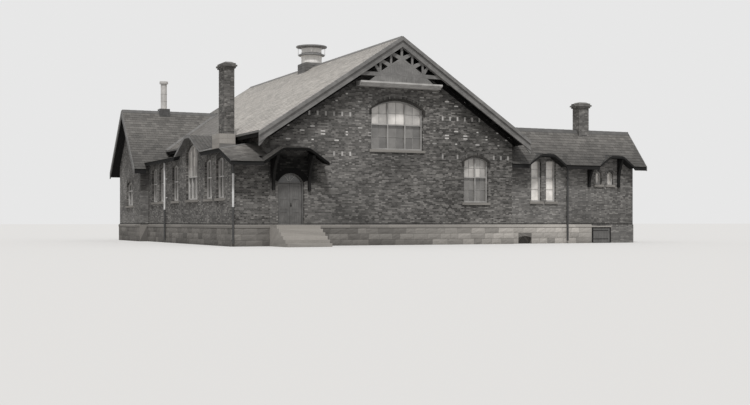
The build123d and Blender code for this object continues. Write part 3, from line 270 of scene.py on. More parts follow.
# Carpentry
rafter_width = 0.08
rafter_back = 0.05
rafter_curve = (0.8, 0.45)
rafter_ends = (0.2, 0.1)
nave_rafter_end = 0.5
nave_rafter = (0.62, 0.14)
wing_rafter = (0.55, 0.12)
rear_rafter = (0.6, 0.12)
front_purlin_ends = (-0.5, 0.0)
rear_purlin_ends = (23.0, 23.5)
purlin_half = 0.06
purlin_deep = 0.16
front_purlins = (2.9, 4.3, 5.7)
rear_purlins = (0.7, 2.1, 3.5, 4.9, 6.3)
panel_board = 0.13
panel_gap = 0.006
panel_proud = 0.008
panel_uneven = (0.75, 1.1)
truss_pitch = 0.61
truss_bays = 4
truss_post = 0.12
truss_thick = 0.07
truss_edge = 0.012
truss_rib_back = 0.004
truss_post_back = 0.002
truss_brace_back = 0.006
king_post = 0.14
tie_beam = (8.68, 8.88)
rafter_band = (0.30, 0.54)
chord_drop = 1.05
post_tenon = 0.04
beam_tenon = 0.06
brace_tenon = 0.01
chord_least = 0.1
chord_lap = 0.02
chord_probe = 0.001
brace_drops = (1.21, 0.61, 0.42, 0.955)
last_brace = ((0.0, 0.0), (0.08, 0.0), (0.27, None), (0.17, None), (0.0, 0.22))
frieze_boards = ((0.0, 0.20), (0.21, 0.42))
frieze_thick = (0.028, 0.021)
frieze_length = 2.4
frieze_drop = 0.01
frieze_edge = 0.008
board_end = 0.002

# Cellar hatch: left, right, foot and head
hatch = (12.62, 13.92, 0.03, 0.90)
hatch_boards = 6
hatch_frame = 0.07
hatch_head = 0.05
hatch_inset = 0.005
hatch_edge = 0.006
hatch_proud = 0.045
hatch_board_proud = 0.026
hatch_board_gap = 0.003
hatch_lintel = (0.06, 0.075, 0.02)
hatch_straps = (0.18, 0.2)
strap_width = 0.045
strap_end = 0.1
strap_proud = 0.032
strap_edge = 0.003

# Door leaves
moulding_width = 0.03
moulding_depth = (-0.013, 0.006)
moulding_gap = 0.001
leaf_boards = 3
leaf_board_depth = (-0.013, -0.005)
leaf_board_gap = 0.004
handle_place = (0.055, 1.0)
handle_plate = (0.024, 0.1, 0.004)
plate_inset = 0.001
handle_ring = 0.042
handle_out = 0.016
handle_drop = 0.03
handle_iron = 0.007
handle_boss = (0.012, 0.022)
handle_sides = (20, 8, 10)

# Ventilator, stove pipe and stacks
vent_bands = (0.05, 0.34)
vent_band = (0.035, 0.014)
vent_ribs = (0.02, 0.5)
vent_stays = (0.42, 0.52, 0.2)
vent_stay = 0.014
stay_out = 0.02
stay_count = 8
stay_sides = 6
rib_count = 12
vent_sides = 36
rib_half = 0.012
band_inset = 0.01
base_board = 0.14
base_board_laps = (0.02, 0.02, 0.004, 0.004)
base_board_gap = 0.002
base_board_past = 0.006
stove_bands = (0.55, 1.05, 1.5)
stove_band = (0.03, 0.012)
stove_sides = 24
flue_thick = 0.012
flaunching = ((0.05, 0.0), (0.16, 0.07), (0.19, 0.07), (0.19, 0.0))


# Plain geometry
def cell(left, right, low, high):
    """The four corners of a field, counter-clockwise."""
    return [(left, low), (right, low), (right, high), (left, high)]


def split(start, end, count):
    """The equal parts of a stretch, as (from, to) pairs."""
    marks = [start + (end - start) * step / count for step in range(count + 1)]
    return list(zip(marks, marks[1:]))


def parts(length, size, fewest=1):
    """How many parts of about one size fill a length."""
    return max(fewest, round(length / size))


def turns(count, shift=0.0):
    """The angles of equal steps round a circle, with the first one again at the end."""
    return [2 * math.pi * (step + shift) / count for step in range(count + 1)]


def way_at(angle):
    """The level direction at an angle, seen from above."""
    return Vector((math.cos(angle), math.sin(angle), 0))


def share(value):
    """The value, kept between 0 and 1."""
    return max(0.0, min(1.0, value))


def box_of(points):
    across = [u for u, v in points]
    up = [v for u, v in points]
    return min(across), max(across), min(up), max(up)


def ordered(loop):
    """The loop, counter-clockwise."""
    area = sum(a[0] * b[1] - b[0] * a[1] for a, b in zip(loop, loop[1:] + loop[:1]))
    return loop if area > 0 else loop[::-1]


def meet(first, second):
    """The stretches that lie in both lists."""
    both = [(max(a, c), min(b, d)) for a, b in first for c, d in second]
    return [(low, high) for low, high in both if high - low > tolerance]


def cut(stretches, low, high):
    """The stretches without the part between low and high."""
    kept = []
    for a, b in stretches:
        kept += [(a, min(b, low)), (max(a, high), b)]
    return [(a, b) for a, b in kept if a < b]


def clip(subject, clipper):
    """The part of a polygon inside a convex one, both counter-clockwise."""
    result = list(subject)
    for start, end in zip(clipper, clipper[1:] + clipper[:1]):
        edge = (end[0] - start[0], end[1] - start[1])
        sides = [edge[0] * (v - start[1]) - edge[1] * (u - start[0]) for u, v in result]
        kept = []
        for k, here in enumerate(result):
            if (sides[k] >= 0) != (sides[k - 1] >= 0):
                before = result[k - 1]
                part = sides[k - 1] / (sides[k - 1] - sides[k])
                kept.append(tuple(before[a] + (here[a] - before[a]) * part for a in (0, 1)))
            if sides[k] >= 0:
                kept.append(here)
        result = kept
    return result


def band(count, base=0):
    """The faces that join one ring of points to the next."""
    after = [base + (i + 1) % count for i in range(count)]
    return [(base + i, after[i], count + after[i], base + count + i) for i in range(count)]


class Shape:
    """Points and faces of one piece, with a tone for each face."""

    def __init__(self):
        self.points = []
        self.faces = []
        self.tones = []

    def add(self, points, faces, tone=0.0):
        base = len(self.points)
        self.points.extend(points)
        self.faces.extend([tuple(base + i for i in face) for face in faces])
        self.tones.extend([tone] * len(faces))

    def prism(self, foot, head, tone=0.0, bottom=False):
        """A solid between two like outlines, open below unless bottom is asked for."""
        count = len(foot)
        faces = [tuple(range(count, 2 * count))] + band(count)
        if bottom:
            faces.append(tuple(reversed(range(count))))
        self.add(foot + head, faces, tone)

    def slab(self, corners, normal, low, high, tone=0.0, bottom=False):
        """A flat piece: its outline's corners, raised from low to high along the normal."""
        self.prism([c + normal * low for c in corners], [c + normal * high for c in corners], tone, bottom)

    def bevelled(self, corners, normal, low, high, edge):
        """A flat convex piece with its front edges taken off."""
        count = len(corners)
        ways = [(corners[(i + 1) % count] - corners[i]).normalized() for i in range(count)]
        inward = [normal.cross(way) for way in ways]
        inner = []
        for i, corner in enumerate(corners):
            both = inward[i] + inward[i - 1]
            inner.append(corner + both * (edge / max(sharpest_turn, 1 + inward[i].dot(inward[i - 1]))))
        rings = [c + normal * low for c in corners]
        rings += [c + normal * (high - edge) for c in corners]
        rings += [c + normal * high for c in inner]
        faces = [tuple(range(2 * count, 3 * count))] + band(count) + band(count, count)
        self.add(rings, faces + [tuple(reversed(range(count)))])

    def block(self, low, high):
        """An upright box between two corners."""
        corners = [Vector((x, y, 0)) for x, y in cell(low[0], high[0], low[1], high[1])]
        self.slab(corners, UP, low[2], high[2], bottom=True)

    def tube(self, path, radius, sides):
        """A round tube along a short list of points, with closed ends."""
        points = []
        for index, point in enumerate(path):
            before = path[max(index - 1, 0)]
            after = path[min(index + 1, len(path) - 1)]
            along = (after - before).normalized()
            side = along.cross(UP if abs(along.z) < 0.9 else Vector(RIGHT)).normalized()
            other = along.cross(side)
            points += [point + radius * (math.cos(a) * side + math.sin(a) * other) for a in turns(sides)[:-1]]
        last = len(points) - sides
        faces = [tuple(range(sides)), tuple(reversed(range(last, last + sides)))]
        for ring in range(len(path) - 1):
            faces += [(a, d, c, b) for a, b, c, d in band(sides, ring * sides)]
        self.add(points, faces)

    def make(self, name, material, slot, body="root"):
        mesh = bpy.data.meshes.new(name)
        mesh.from_pydata(self.points, [], self.faces)
        mesh.update()
        tone = mesh.attributes.new("tone", "FLOAT", "FACE")
        tone.data.foreach_set("value", self.tones)
        piece = bpy.data.objects.new(name, mesh)
        bpy.context.scene.collection.objects.link(piece)
        mesh.materials.append(material)
        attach(piece, body)
        return piece


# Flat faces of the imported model
class Region:
    """The faces of some nodes that lie in one plane, as outline edges in the plane's own u and v."""

    def __init__(self, names, normal, level=None, along=UP):
        self.n = Vector(normal).normalized()
        self.v = (along - self.n * along.dot(self.n)).normalized()
        self.u = self.v.cross(self.n)
        self.level, triangles = self.pick(names, level)
        self.edges = self.outline(triangles)

    def pick(self, names, level):
        found = []
        for name in names.split():
            mesh = nodes[name].data
            for face in mesh.polygons:
                if face.normal.dot(self.n) > facing:
                    corners = [mesh.vertices[i].co.copy() for i in face.vertices]
                    found.append((corners[0].dot(self.n), corners))
        if level is None:
            level = max(offset for offset, corners in found)
        return level, [corners for offset, corners in found if abs(offset - level) < tolerance]

    def outline(self, triangles):
        seen = {}
        for corners in triangles:
            flat = [(round(c.dot(self.u), 4), round(c.dot(self.v), 4)) for c in corners]
            for start, end in zip(flat, flat[1:] + flat[:1]):
                key = (min(start, end), max(start, end))
                seen[key] = seen.get(key, 0) + 1
        return [key for key, count in seen.items() if count == 1 and key[0] != key[1]]

    def place(self, u, v):
        return self.u * u + self.v * v + self.n * self.level

    def field(self, left, right, low, high, inset=0.0):
        corners = cell(left + inset, right - inset, low + inset, high - inset)
        return [self.place(u, v) for u, v in corners]

    def span_v(self):
        levels = [point[1] for edge in self.edges for point in edge]
        return min(levels), max(levels)

    def cross(self, v):
        """Where the plane's faces are solid along the line at height v, as (from, to) pairs."""
        hits = []
        for (u0, v0), (u1, v1) in self.edges:
            if (v0 <= v < v1) or (v1 <= v < v0):
                hits.append(u0 + (u1 - u0) * (v - v0) / (v1 - v0))
        hits.sort()
        solid = []
        for low, high in zip(hits[::2], hits[1::2]):
            if solid and low - solid[-1][1] < seam:
                solid[-1] = (solid[-1][0], high)
            elif high - low > tolerance:
                solid.append((low, high))
        return solid

    def rows(self, height):
        """Rows of about one height: number, foot, head, and where the whole row is solid."""
        low, high = self.span_v()
        count = parts(high - low, height)
        step = (high - low) / count
        for row in range(count):
            start = low + row * step
            end = min(start + step, high)
            inside = meet(self.cross(start + row_edge), self.cross(end - row_edge))
            yield row, start, end, meet(inside, self.cross((start + end) / 2))

    def loops(self):
        """The outline's closed loops, each a list of (u, v) points."""
        follow = {}
        for start, end in self.edges:
            follow.setdefault(start, []).append(end)
            follow.setdefault(end, []).append(start)
        left = set(follow)
        loops = []
        while left:
            here = min(left)
            loop = []
            while here:
                left.discard(here)
                loop.append(here)
                here = next((point for point in follow[here] if point in left), None)
            loops.append(loop)
        return loops

    def inner(self):
        """The loops that lie inside another one, such as windows in a wall or lights in a frame."""
        loops = self.loops()
        boxes = [box_of(loop) for loop in loops]
        found = []
        for loop, (left, right, low, high) in zip(loops, boxes):
            if any(a < left and b > right and c <= low and d > high for a, b, c, d in boxes):
                found.append(loop)
        return found


def plane_levels(name, normal, least):
    """The levels of a node's faces that look one way, those with a fair area."""
    areas = {}
    mesh = nodes[name].data
    for face in mesh.polygons:
        if face.normal.dot(Vector(normal)) > facing:
            key = round(mesh.vertices[face.vertices[0]].co.dot(Vector(normal)), 3)
            areas[key] = areas.get(key, 0.0) + face.area
    return sorted(level for level, area in areas.items() if area > least)


# Roof slopes, each with its node and about the way it looks
slopes = {
    "nave_left": ("nave_roof_left", (-0.55, 0, 0.83)),
    "nave_right": ("nave_roof_right", (0.55, 0, 0.83)),
    "aisle": ("aisle_roof", (-0.2, 0, 0.98)),
    "aisle_front": ("aisle_roof", (0, -0.34, 0.94)),
    "cross_wing_front": ("left_wing_roof_front", (0, -0.74, 0.67)),
    "cross_wing_rear": ("left_wing_roof_rear", (0, 0.74, 0.67)),
    "right_wing_front": ("right_wing_roof_front", (0, -0.77, 0.64)),
    "right_wing_rear": ("right_wing_roof_rear", (0, 0.39, 0.92)),
}


def steepest(name, want):
    """The normal of a node's largest face that looks about the way that is wanted."""
    way = Vector(want).normalized()
    faces = [face for face in nodes[name].data.polygons if face.normal.dot(way) > about_facing]
    return max(faces, key=lambda face: face.area).normal.copy()


normals = {slope: steepest(*about) for slope, about in slopes.items()}
falls = {slope: math.hypot(way.x, way.y) / way.z for slope, way in normals.items()}
nave_low, nave_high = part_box("nave_roof_right")
nave_ridge = nave_high[2]
nave_verges = (nave_low[1], nave_high[1])
nave_eave = nave_high[0]


# Procedural materials
def grey(tone):
    """A near-neutral colour, a little warm."""
    return (tone, tone * 0.985, tone * 0.965, 1.0)


class Tree:
    """Short calls for the nodes of one node tree."""

    def __init__(self, tree):
        self.tree = tree

    def node(self, kind, **inputs):
        made = self.tree.nodes.new(kind)
        for name, value in inputs.items():
            self.put(made.inputs[name], value)
        return made

    def put(self, socket, value):
        if isinstance(value, bpy.types.NodeSocket):
            self.tree.links.new(value, socket)
        else:
            socket.default_value = value

    def math(self, operation, first, second=0.0):
        made = self.node("ShaderNodeMath")
        made.operation = operation
        self.put(made.inputs[0], first)
        self.put(made.inputs[1], second)
        return made.outputs[0]


class Paint(Tree):
    """The nodes of one material."""

    def __init__(self, name, roughness=0.8, metallic=0.0, specular=0.3):
        self.material = bpy.data.materials.new(name)
        self.material.use_nodes = True
        super().__init__(self.material.node_tree)
        self.shader = self.tree.nodes["Principled BSDF"].inputs
        self.put(self.shader["Roughness"], roughness)
        self.put(self.shader["Metallic"], metallic)
        self.put(self.shader["Specular IOR Level"], specular)
        self.coords = self.node("ShaderNodeTexCoord").outputs["Object"]

    def noise(self, scale, detail, roughness=0.6, stretch=None):
        vector = self.coords
        if stretch:
            vector = self.node("ShaderNodeMapping", Vector=vector, Scale=stretch).outputs["Vector"]
        made = self.node("ShaderNodeTexNoise", Vector=vector, Scale=scale, Detail=detail, Roughness=roughness)
        return made.outputs["Fac"]

    def ramp(self, value, *stops):
        made = self.node("ShaderNodeValToRGB", Fac=value)
        elements = made.color_ramp.elements
        while len(elements) < len(stops):
            elements.new(0.5)
        for element, (place, tone) in zip(elements, stops):
            element.position = place
            element.color = grey(tone)
        return made.outputs["Color"]

    def cloud(self, scale, detail, low, high, edge=0.3, roughness=0.6, stretch=None):
        """Noise as tones from low to high."""
        return self.ramp(self.noise(scale, detail, roughness, stretch), (edge, low), (1 - edge, high))

    def mix(self, amount, first, second, blend="MIX"):
        made = self.node("ShaderNodeMix")
        made.data_type = "RGBA"
        made.blend_type = blend
        self.put(made.inputs["Factor"], amount)
        self.put(made.inputs[6], first)
        self.put(made.inputs[7], second)
        return made.outputs[2]

    def times(self, value, *others):
        for other in others:
            value = self.mix(1.0, value, other, "MULTIPLY")
        return value

    def island(self):
        return self.node("ShaderNodeNewGeometry").outputs["Random Per Island"]

    def tone(self):
        made = self.node("ShaderNodeAttribute")
        made.attribute_name = "tone"
        return made.outputs["Fac"]

    def axis(self, name, vector=None):
        return self.node("ShaderNodeSeparateXYZ", Vector=vector or self.coords).outputs[name]

    def above(self, name, level, vector=None):
        return self.math("GREATER_THAN", self.axis(name, vector), level)

    def below(self, name, level):
        return self.math("LESS_THAN", self.axis(name), level)

    def colour(self, value):
        self.put(self.shader["Base Color"], value)

    def done(self, colour, relief, strength, distance):
        """The material, with its colour and a fine relief."""
        self.colour(colour)
        made = self.node("ShaderNodeBump", Height=relief, Strength=strength, Distance=distance)
        self.put(self.shader["Normal"], made.outputs["Normal"])
        return self.material


wall_patches = (0.33, 4.0, 0.62, 1.15, 0.35)


def brick_paint():
    """A tone above 0 makes a brick paler, and one below 0 blackens it: painted shade under the hood, painted
    shadow under the verges, and a darker course over the base.
    """
    paint = Paint("brick", roughness=0.9, specular=0.2)
    each = paint.ramp(paint.island(), (0.0, 0.060), (0.35, 0.115), (0.7, 0.17), (1.0, 0.28))
    body = paint.times(each, paint.cloud(38.0, 5.0, 0.7, 1.25))
    paler = paint.math("MAXIMUM", paint.tone(), 0.0)
    accented = paint.mix(paler, body, paint.cloud(60.0, 3.0, 0.60, 0.82))
    black = paint.math("MAXIMUM", paint.math("MULTIPLY", paint.tone(), -1.0), 0.0)
    darkened = paint.mix(black, accented, grey(0.005))
    return paint.done(paint.times(darkened, paint.cloud(*wall_patches)), paint.noise(120.0, 6.0), 0.5, 0.004)


def mortar_paint():
    """Mortar, black with painted shade round the hood of the door."""
    paint = Paint("mortar", roughness=0.95, specular=0.1)
    body = paint.times(paint.cloud(150.0, 4.0, 0.17, 0.28), paint.cloud(*wall_patches))
    away = 0.0
    for axis, centre, reach in zip("XZ", hood_shade_centre, hood_shade_reach):
        gap = paint.math("ABSOLUTE", paint.math("SUBTRACT", paint.axis(axis), centre))
        away = paint.math("MAXIMUM", paint.math("DIVIDE", gap, reach), away)
    black = paint.math("MULTIPLY", paint.below("Y", 1.0), paint.ramp(away, (0.75, 1.0), (hood_shade_edge, 0.0)))
    return paint.done(paint.mix(black, body, grey(0.006)), paint.noise(200.0, 4.0), 0.4, 0.003)


def stone_paint(name, low, high, stain, sootiest=1.0, cleanest=1.0):
    """Stone that differs from block to block, damp at its foot; tone 0 is the sootiest."""
    paint = Paint(name, roughness=0.9, specular=0.2)
    each = paint.ramp(paint.island(), (0.0, low), (1.0, high))
    grain = paint.cloud(55.0, 6.0, 0.7, 1.25, 0.25, 0.7)
    darkened = paint.ramp(paint.tone(), (0.0, sootiest), (1.0, cleanest))
    wet = paint.math("ADD", paint.axis("Z"), paint.noise(1.7, 4.0))
    body = paint.times(each, grain, darkened, paint.ramp(wet, (0.35, stain), (1.1, 1.0)))
    return paint.done(body, paint.noise(40.0, 8.0, 0.65), 0.6, 0.012)


def slate_paint(name, low, high, eave):
    """Slates that differ one by one; tone 1, at the eave or low towards the back, is the darkest."""
    paint = Paint(name, roughness=0.62, specular=0.4)
    each = paint.ramp(paint.island(), (0.0, low), (0.5, (low + high) / 2), (1.0, high))
    weather = paint.cloud(1.3, 7.0, 0.86, 1.1, 0.3, 0.7)
    grain = paint.cloud(45.0, 4.0, 0.84, 1.14, 0.25, 0.7, (1.0, 1.0, 0.35))
    darkened = paint.ramp(paint.tone(), (0.0, 0.86), (0.3, 1.0), (1.0, eave))
    return paint.done(paint.times(each, weather, darkened, grain), paint.noise(60.0, 5.0), 0.4, 0.004)


def wood_paint(name, low, high, grain_along, roughness=0.6, specular=0.35):
    """Painted boards with grain that runs along one axis, worn where the paint has gone thin."""
    paint = Paint(name, roughness=roughness, specular=specular)
    stretch = [14.0, 14.0, 14.0]
    stretch[grain_along] = 1.2
    grain = paint.noise(3.0, 6.0, 0.7, stretch)
    worn = paint.ramp(paint.noise(2.3, 5.0), (0.35, 0.78), (0.7, 1.2))
    return paint.done(paint.times(paint.ramp(grain, (0.3, low), (0.7, high)), worn), grain, 0.35, 0.004)


def roof_paint(name, bed):
    """Near-black boards below, partly painted shade under the eaves, and the bed of the slates above."""
    paint = Paint(name, roughness=0.85, specular=0.12)
    upward = paint.above("Z", 0.1, paint.node("ShaderNodeNewGeometry").outputs["Normal"])
    boards = paint.cloud(3.0, 6.0, 0.014, 0.03, 0.3, 0.7, (14.0, 1.2, 14.0))
    slates = paint.cloud(9.0, 6.0, bed * 0.8, bed * 1.2)
    return paint.done(paint.mix(upward, boards, slates), paint.noise(30.0, 4.0), 0.3, 0.004)


def metal_paint(name, low, high, roughness, metallic, dark=0.0, levels=()):
    """Streaked sheet metal, dark between each pair of levels."""
    paint = Paint(name, roughness=roughness, metallic=metallic, specular=0.5)
    streaks = paint.cloud(6.0, 4.0, 0.8, 1.15, stretch=(6.0, 6.0, 0.5))
    body = paint.times(paint.cloud(3.0, 6.0, low, high), streaks)
    for bottom, top in levels:
        inside = paint.math("MULTIPLY", paint.above("Z", bottom), paint.below("Z", top))
        body = paint.mix(inside, body, paint.cloud(9.0, 5.0, dark * 0.7, dark * 1.5))
    return paint.done(body, paint.noise(25.0, 4.0), 0.2, 0.002)


def pipe_paint():
    """Pale galvanized pipes over dark cast iron feet; the one on the right is dark all the way, and the front
    one is dark at its top, painted shadow under the eave.
    """
    paint = Paint("downpipe", roughness=0.5, specular=0.4)
    upper = paint.math("MULTIPLY", paint.above("Z", iron_foot), paint.below("X", 0.0))
    shadowed_top = paint.math("MULTIPLY", paint.above("Z", pipe_eave_shadow[0]), paint.below("Y", pipe_eave_shadow[1]))
    pale = paint.math("SUBTRACT", upper, shadowed_top)
    iron, zinc = paint.cloud(14.0, 5.0, 0.045, 0.08), paint.cloud(7.0, 5.0, 0.56, 0.72)
    body = paint.mix(paint.math("MAXIMUM", pale, 0.0), iron, zinc)
    return paint.done(body, paint.noise(30.0, 4.0), 0.25, 0.002)


def pane_paint():
    """Glass that is dark at tone 0 and bright at tone 1: painted reflection of how bright each pane looks."""
    paint = Paint("pane", roughness=0.12, specular=0.8)
    each = paint.ramp(paint.island(), (0.0, 0.86), (1.0, 1.16))
    base = paint.ramp(paint.tone(), (0.0, 0.055), (0.5, 0.18), (1.0, 0.85))
    body = paint.times(base, each, paint.cloud(1.3, 4.0, 0.72, 1.25))
    return paint.done(body, paint.noise(5.0, 2.0), 0.25, 0.01)


BRICK = brick_paint()
MORTAR = mortar_paint()
BASE_STONE = stone_paint("foundation_stone", 0.20, 0.38, 0.72, 0.66, 1.5)
BASE_CAP = stone_paint("base_cap", 0.30, 0.40, 0.8, 0.66, 1.3)
DRESSED = stone_paint("dressed_stone", 0.33, 0.42, 0.8)
# Painted shade: near-black label moulds, for the shadow along them
SHADED_MOULDING = stone_paint("moulding_painted_shade", 0.035, 0.06, 0.8)
SILL = stone_paint("sill_stone", 0.22, 0.30, 0.8)
SLATE_PALE = slate_paint("slate_pale", 0.35, 0.50, 0.42)
SLATE_DARK = slate_paint("slate_dark", 0.092, 0.165, 0.5)
SLATE_MID = slate_paint("slate_mid", 0.14, 0.25, 0.4)
PALE_ROOF = roof_paint("pale_roof", 0.26)
DARK_ROOF = roof_paint("dark_roof", 0.07)
# Near-black paint; on the brackets under the hood and the eaves it is also painted shade
BOARD_DARK = wood_paint("board_dark", 0.012, 0.025, 0, 0.8, 0.12)
BOARD_EDGE = wood_paint("board_edge", 0.15, 0.24, 0)
VERGE_EDGE = wood_paint("verge_edge", 0.11, 0.19, 0)
BOARD_PALE = wood_paint("board_pale", 0.17, 0.265, 2)
LEDGE = wood_paint("ledge", 0.38, 0.52, 0)
BASE_BOARD = wood_paint("base_board", 0.11, 0.17, 0)
# Near-black paint for the rafter feet and purlin ends, which is also painted shade under the eaves and verges
SOFFIT = wood_paint("soffit", 0.014, 0.03, 1, 0.8, 0.12)
# Painted shade and shadow: near-black boards for the door's hood, the friezes under the verges and the
# chimneys' flues
SHADOW_BLACK = wood_paint("shadow_black_board", 0.006, 0.013, 0, 0.8, 0.06)
JOINERY = wood_paint("joinery", 0.30, 0.42, 2, 0.5)
# Painted light: paler joinery for the wings' windows, which stand in shade
LIT_JOINERY = wood_paint("joinery_painted_light", 0.42, 0.56, 2, 0.5)
DOOR_WOOD = wood_paint("door_wood", 0.10, 0.175, 2, 0.5)
FLOOR_WOOD = wood_paint("floor_wood", 0.12, 0.2, 0, 0.6)
ZINC = metal_paint("zinc", 0.46, 0.64, 0.5, 0.2)
LEAD = metal_paint("lead", 0.13, 0.2, 0.55, 0.2)
DARK_LEAD = metal_paint("dark_lead", 0.075, 0.125, 0.6, 0.1)
IRON = metal_paint("iron", 0.02, 0.04, 0.5, 0.5)
# Painted light: paler than the zinc, to make up for the cap's shade on the drum
VENT_METAL = metal_paint("ventilator_metal", 0.76, 0.90, 0.5, 0.1, 0.20, vent_dark)
STOVE_METAL = metal_paint("stove_metal", 0.46, 0.64, 0.5, 0.1, 0.075, ((0.0, stove_box_top),))
PIPE = pipe_paint()
PANE = pane_paint()

node_looks = (
    (MORTAR, "front_wall front_wall_corner front_wall_over_door rear_wall nave_right_wall nave_arcade"),
    (MORTAR, "aisle_front_wall aisle_side_wall left_wing_end_wall left_wing_side_walls"),
    (MORTAR, "right_wing_front_wall corner_bay_wall right_wing_end_wall right_wing_rear_wall"),
    (MORTAR, "left_chimney right_chimney"),
    (JOINERY, "front_window_frames nave_back_window_frames"),
    (LIT_JOINERY, "left_window_frames right_wing_window_frames"),
    (PANE, "front_glass right_wing_glass left_glass nave_back_glass"),
    (BASE_STONE, "nave_foundation left_foundation right_foundation"),
    (DRESSED, "entrance_steps"),
    (SILL, "window_dressings"),
    (SHADED_MOULDING, "label_moulds"),
    (PALE_ROOF, "nave_roof_left nave_roof_right aisle_roof"),
    (DARK_ROOF, "left_wing_roof_front left_wing_roof_rear right_wing_roof_front right_wing_roof_rear"),
    (LEAD, "aisle_dormer nave_gutters"),
    (BOARD_EDGE, "front_bargeboards rear_bargeboards gable_fretwork"),
    (VERGE_EDGE, "wing_verge_boards"),
    (BOARD_DARK, "hood_brackets eave_brackets"),
    (SHADOW_BLACK, "entrance_hood"),
    (BOARD_PALE, "gable_panel"),
    (LEDGE, "gable_ledge"),
    (DOOR_WOOD, "door_left door_right door_frame"),
    (IRON, "door_left_straps door_right_straps door_pintles"),
    (FLOOR_WOOD, "floors"),
    (VENT_METAL, "ventilator"),
    (BASE_BOARD, "ventilator_base"),
    (STOVE_METAL, "stove_pipe"),
    (PIPE, "downpipes"),
)


def dress_nodes():
    for material, names in node_looks:
        for name in names.split():
            slots = nodes[name].data.materials
            if not slots:
                slots.append(material)
            for index in range(len(slots)):
                slots[index] = material


# Stage, lights and camera
def lay_floor():
    floor = bpy.data.meshes.new("floor")
    corners = [(x, y, 0) for x, y in cell(-floor_reach, floor_reach, -floor_reach, floor_reach)]
    floor.from_pydata(corners, [], [(0, 1, 2, 3)])
    ground = bpy.data.objects.new("floor", floor)
    bpy.context.scene.collection.objects.link(ground)
    paint = Paint("floor", roughness=1.0, specular=0.0)
    seen = paint.node("ShaderNodeLightPath").outputs["Is Camera Ray"]
    paint.colour(paint.mix(seen, grey(floor_bounce), grey(floor_seen)))
    floor.materials.append(paint.material)


def light_sky():
    """A plain sky, brighter to the camera and to glossy and passing rays than as a light."""
    world = bpy.data.worlds.new("world")
    bpy.context.scene.world = world
    world.use_nodes = True
    sky = Tree(world.node_tree)
    path = sky.node("ShaderNodeLightPath").outputs
    seen = path["Is Camera Ray"]
    for ray in ("Is Glossy Ray", "Is Transmission Ray"):
        seen = sky.math("MAXIMUM", seen, path[ray])
    strength = sky.node("ShaderNodeMapRange", Value=seen)
    sky.put(strength.inputs["To Min"], sky_light)
    sky.put(strength.inputs["To Max"], sky_seen)
    background = sky.tree.nodes["Background"].inputs
    sky.put(background["Strength"], strength.outputs["Result"])
    sky.put(background["Color"], (1, 1, 1, 1))


def hang_sun():
    sun = bpy.data.lights.new("key", "SUN")
    sun.energy = sun_strength
    sun.angle = math.radians(sun_width)
    key = bpy.data.objects.new("key", sun)
    key.rotation_euler = (math.radians(sun_tilt), 0, math.radians(sun_turn))
    bpy.context.scene.collection.objects.link(key)


def place_camera():
    lens = bpy.data.cameras.new("camera")
    lens.lens = camera_lens
    lens.sensor_width = camera_sensor
    lens.shift_y = horizon_drop / image_width
    lens.clip_end = camera_far
    camera = bpy.data.objects.new("camera", lens)
    camera.location = camera_place
    camera.rotation_euler = (math.pi / 2, 0, -camera_turn)
    bpy.context.scene.collection.objects.link(camera)
    bpy.context.scene.camera = camera
    bpy.context.scene.view_settings.view_transform = "Standard"


# Brick walls
class Hole:
    """An arched opening, and the brick arch over it."""

    def __init__(self, loop):
        left, right, self.sill, self.crown = box_of(loop)
        self.spring = max(v for u, v in loop if u - left < tolerance)
        self.middle, self.half = (left + right) / 2, (right - left) / 2
        self.rise = self.crown - self.spring
        self.ring = narrow_ring_depth if right - left < narrow_width else ring_depth
        rise = max(self.rise, tolerance)
        self.radius = (self.half * self.half + rise * rise) / (2 * rise)
        self.centre = self.crown - self.radius
        self.angle = math.asin(min(1.0, self.half / self.radius))

    def reach(self, v):
        """How far from the middle the brick arch reaches at height v."""
        outer = self.radius + self.ring
        shoulder = self.centre + outer * math.cos(self.angle)
        if v < self.spring - tolerance:
            return self.half
        if v < shoulder:
            wider = outer * math.sin(self.angle) - self.half
            return self.half + wider * (v - self.spring) / max(shoulder - self.spring, 1e-6)
        return math.sqrt(max(0.0, outer * outer - (v - self.centre) ** 2))


def pale_marks():
    """Middles of the pale bricks in the two lozenge bands."""
    marks = []
    for row, shift, double in pale_rows:
        for side in (-1, 1):
            for step in range(pale_steps):
                across = side * (pale_start + (step + shift) * pale_pitch)
                level = pale_top - row * pale_row
                marks.append((across, level + course * double))
                if double:
                    marks.append((across, level - course))
    return [mark for mark in marks if draw.random() > pale_lost]


def upright_marks():
    """The dotted rows under the two bands, bricks set on end."""
    places = []
    for row in dot_rows:
        for side in (-1, 1):
            for step in range(dot_steps):
                across = side * (pale_start + step * dot_pitch)
                level = pale_top - row * pale_row
                # No pale uprights where the wall under the hood is painted shade
                under_hood_shade = abs(across - hood_shade_centre[0]) < hood_shade_bounds[0] and level < hood_shade_bounds[1]
                if abs(across) > pale_faded and not under_hood_shade and draw.random() > pale_lost:
                    places.append((across, level))
    return places


MARKS = pale_marks()


# Painted shade: how black the wall round the hood of the door is made, from 0 to 1
def hood_shade_at(across, level):
    away = max(abs(across - hood_shade_centre[0]) / hood_shade_reach[0], abs(level - hood_shade_centre[1]) / hood_shade_reach[1])
    return share((hood_shade_edge - away) * hood_shade_fade)


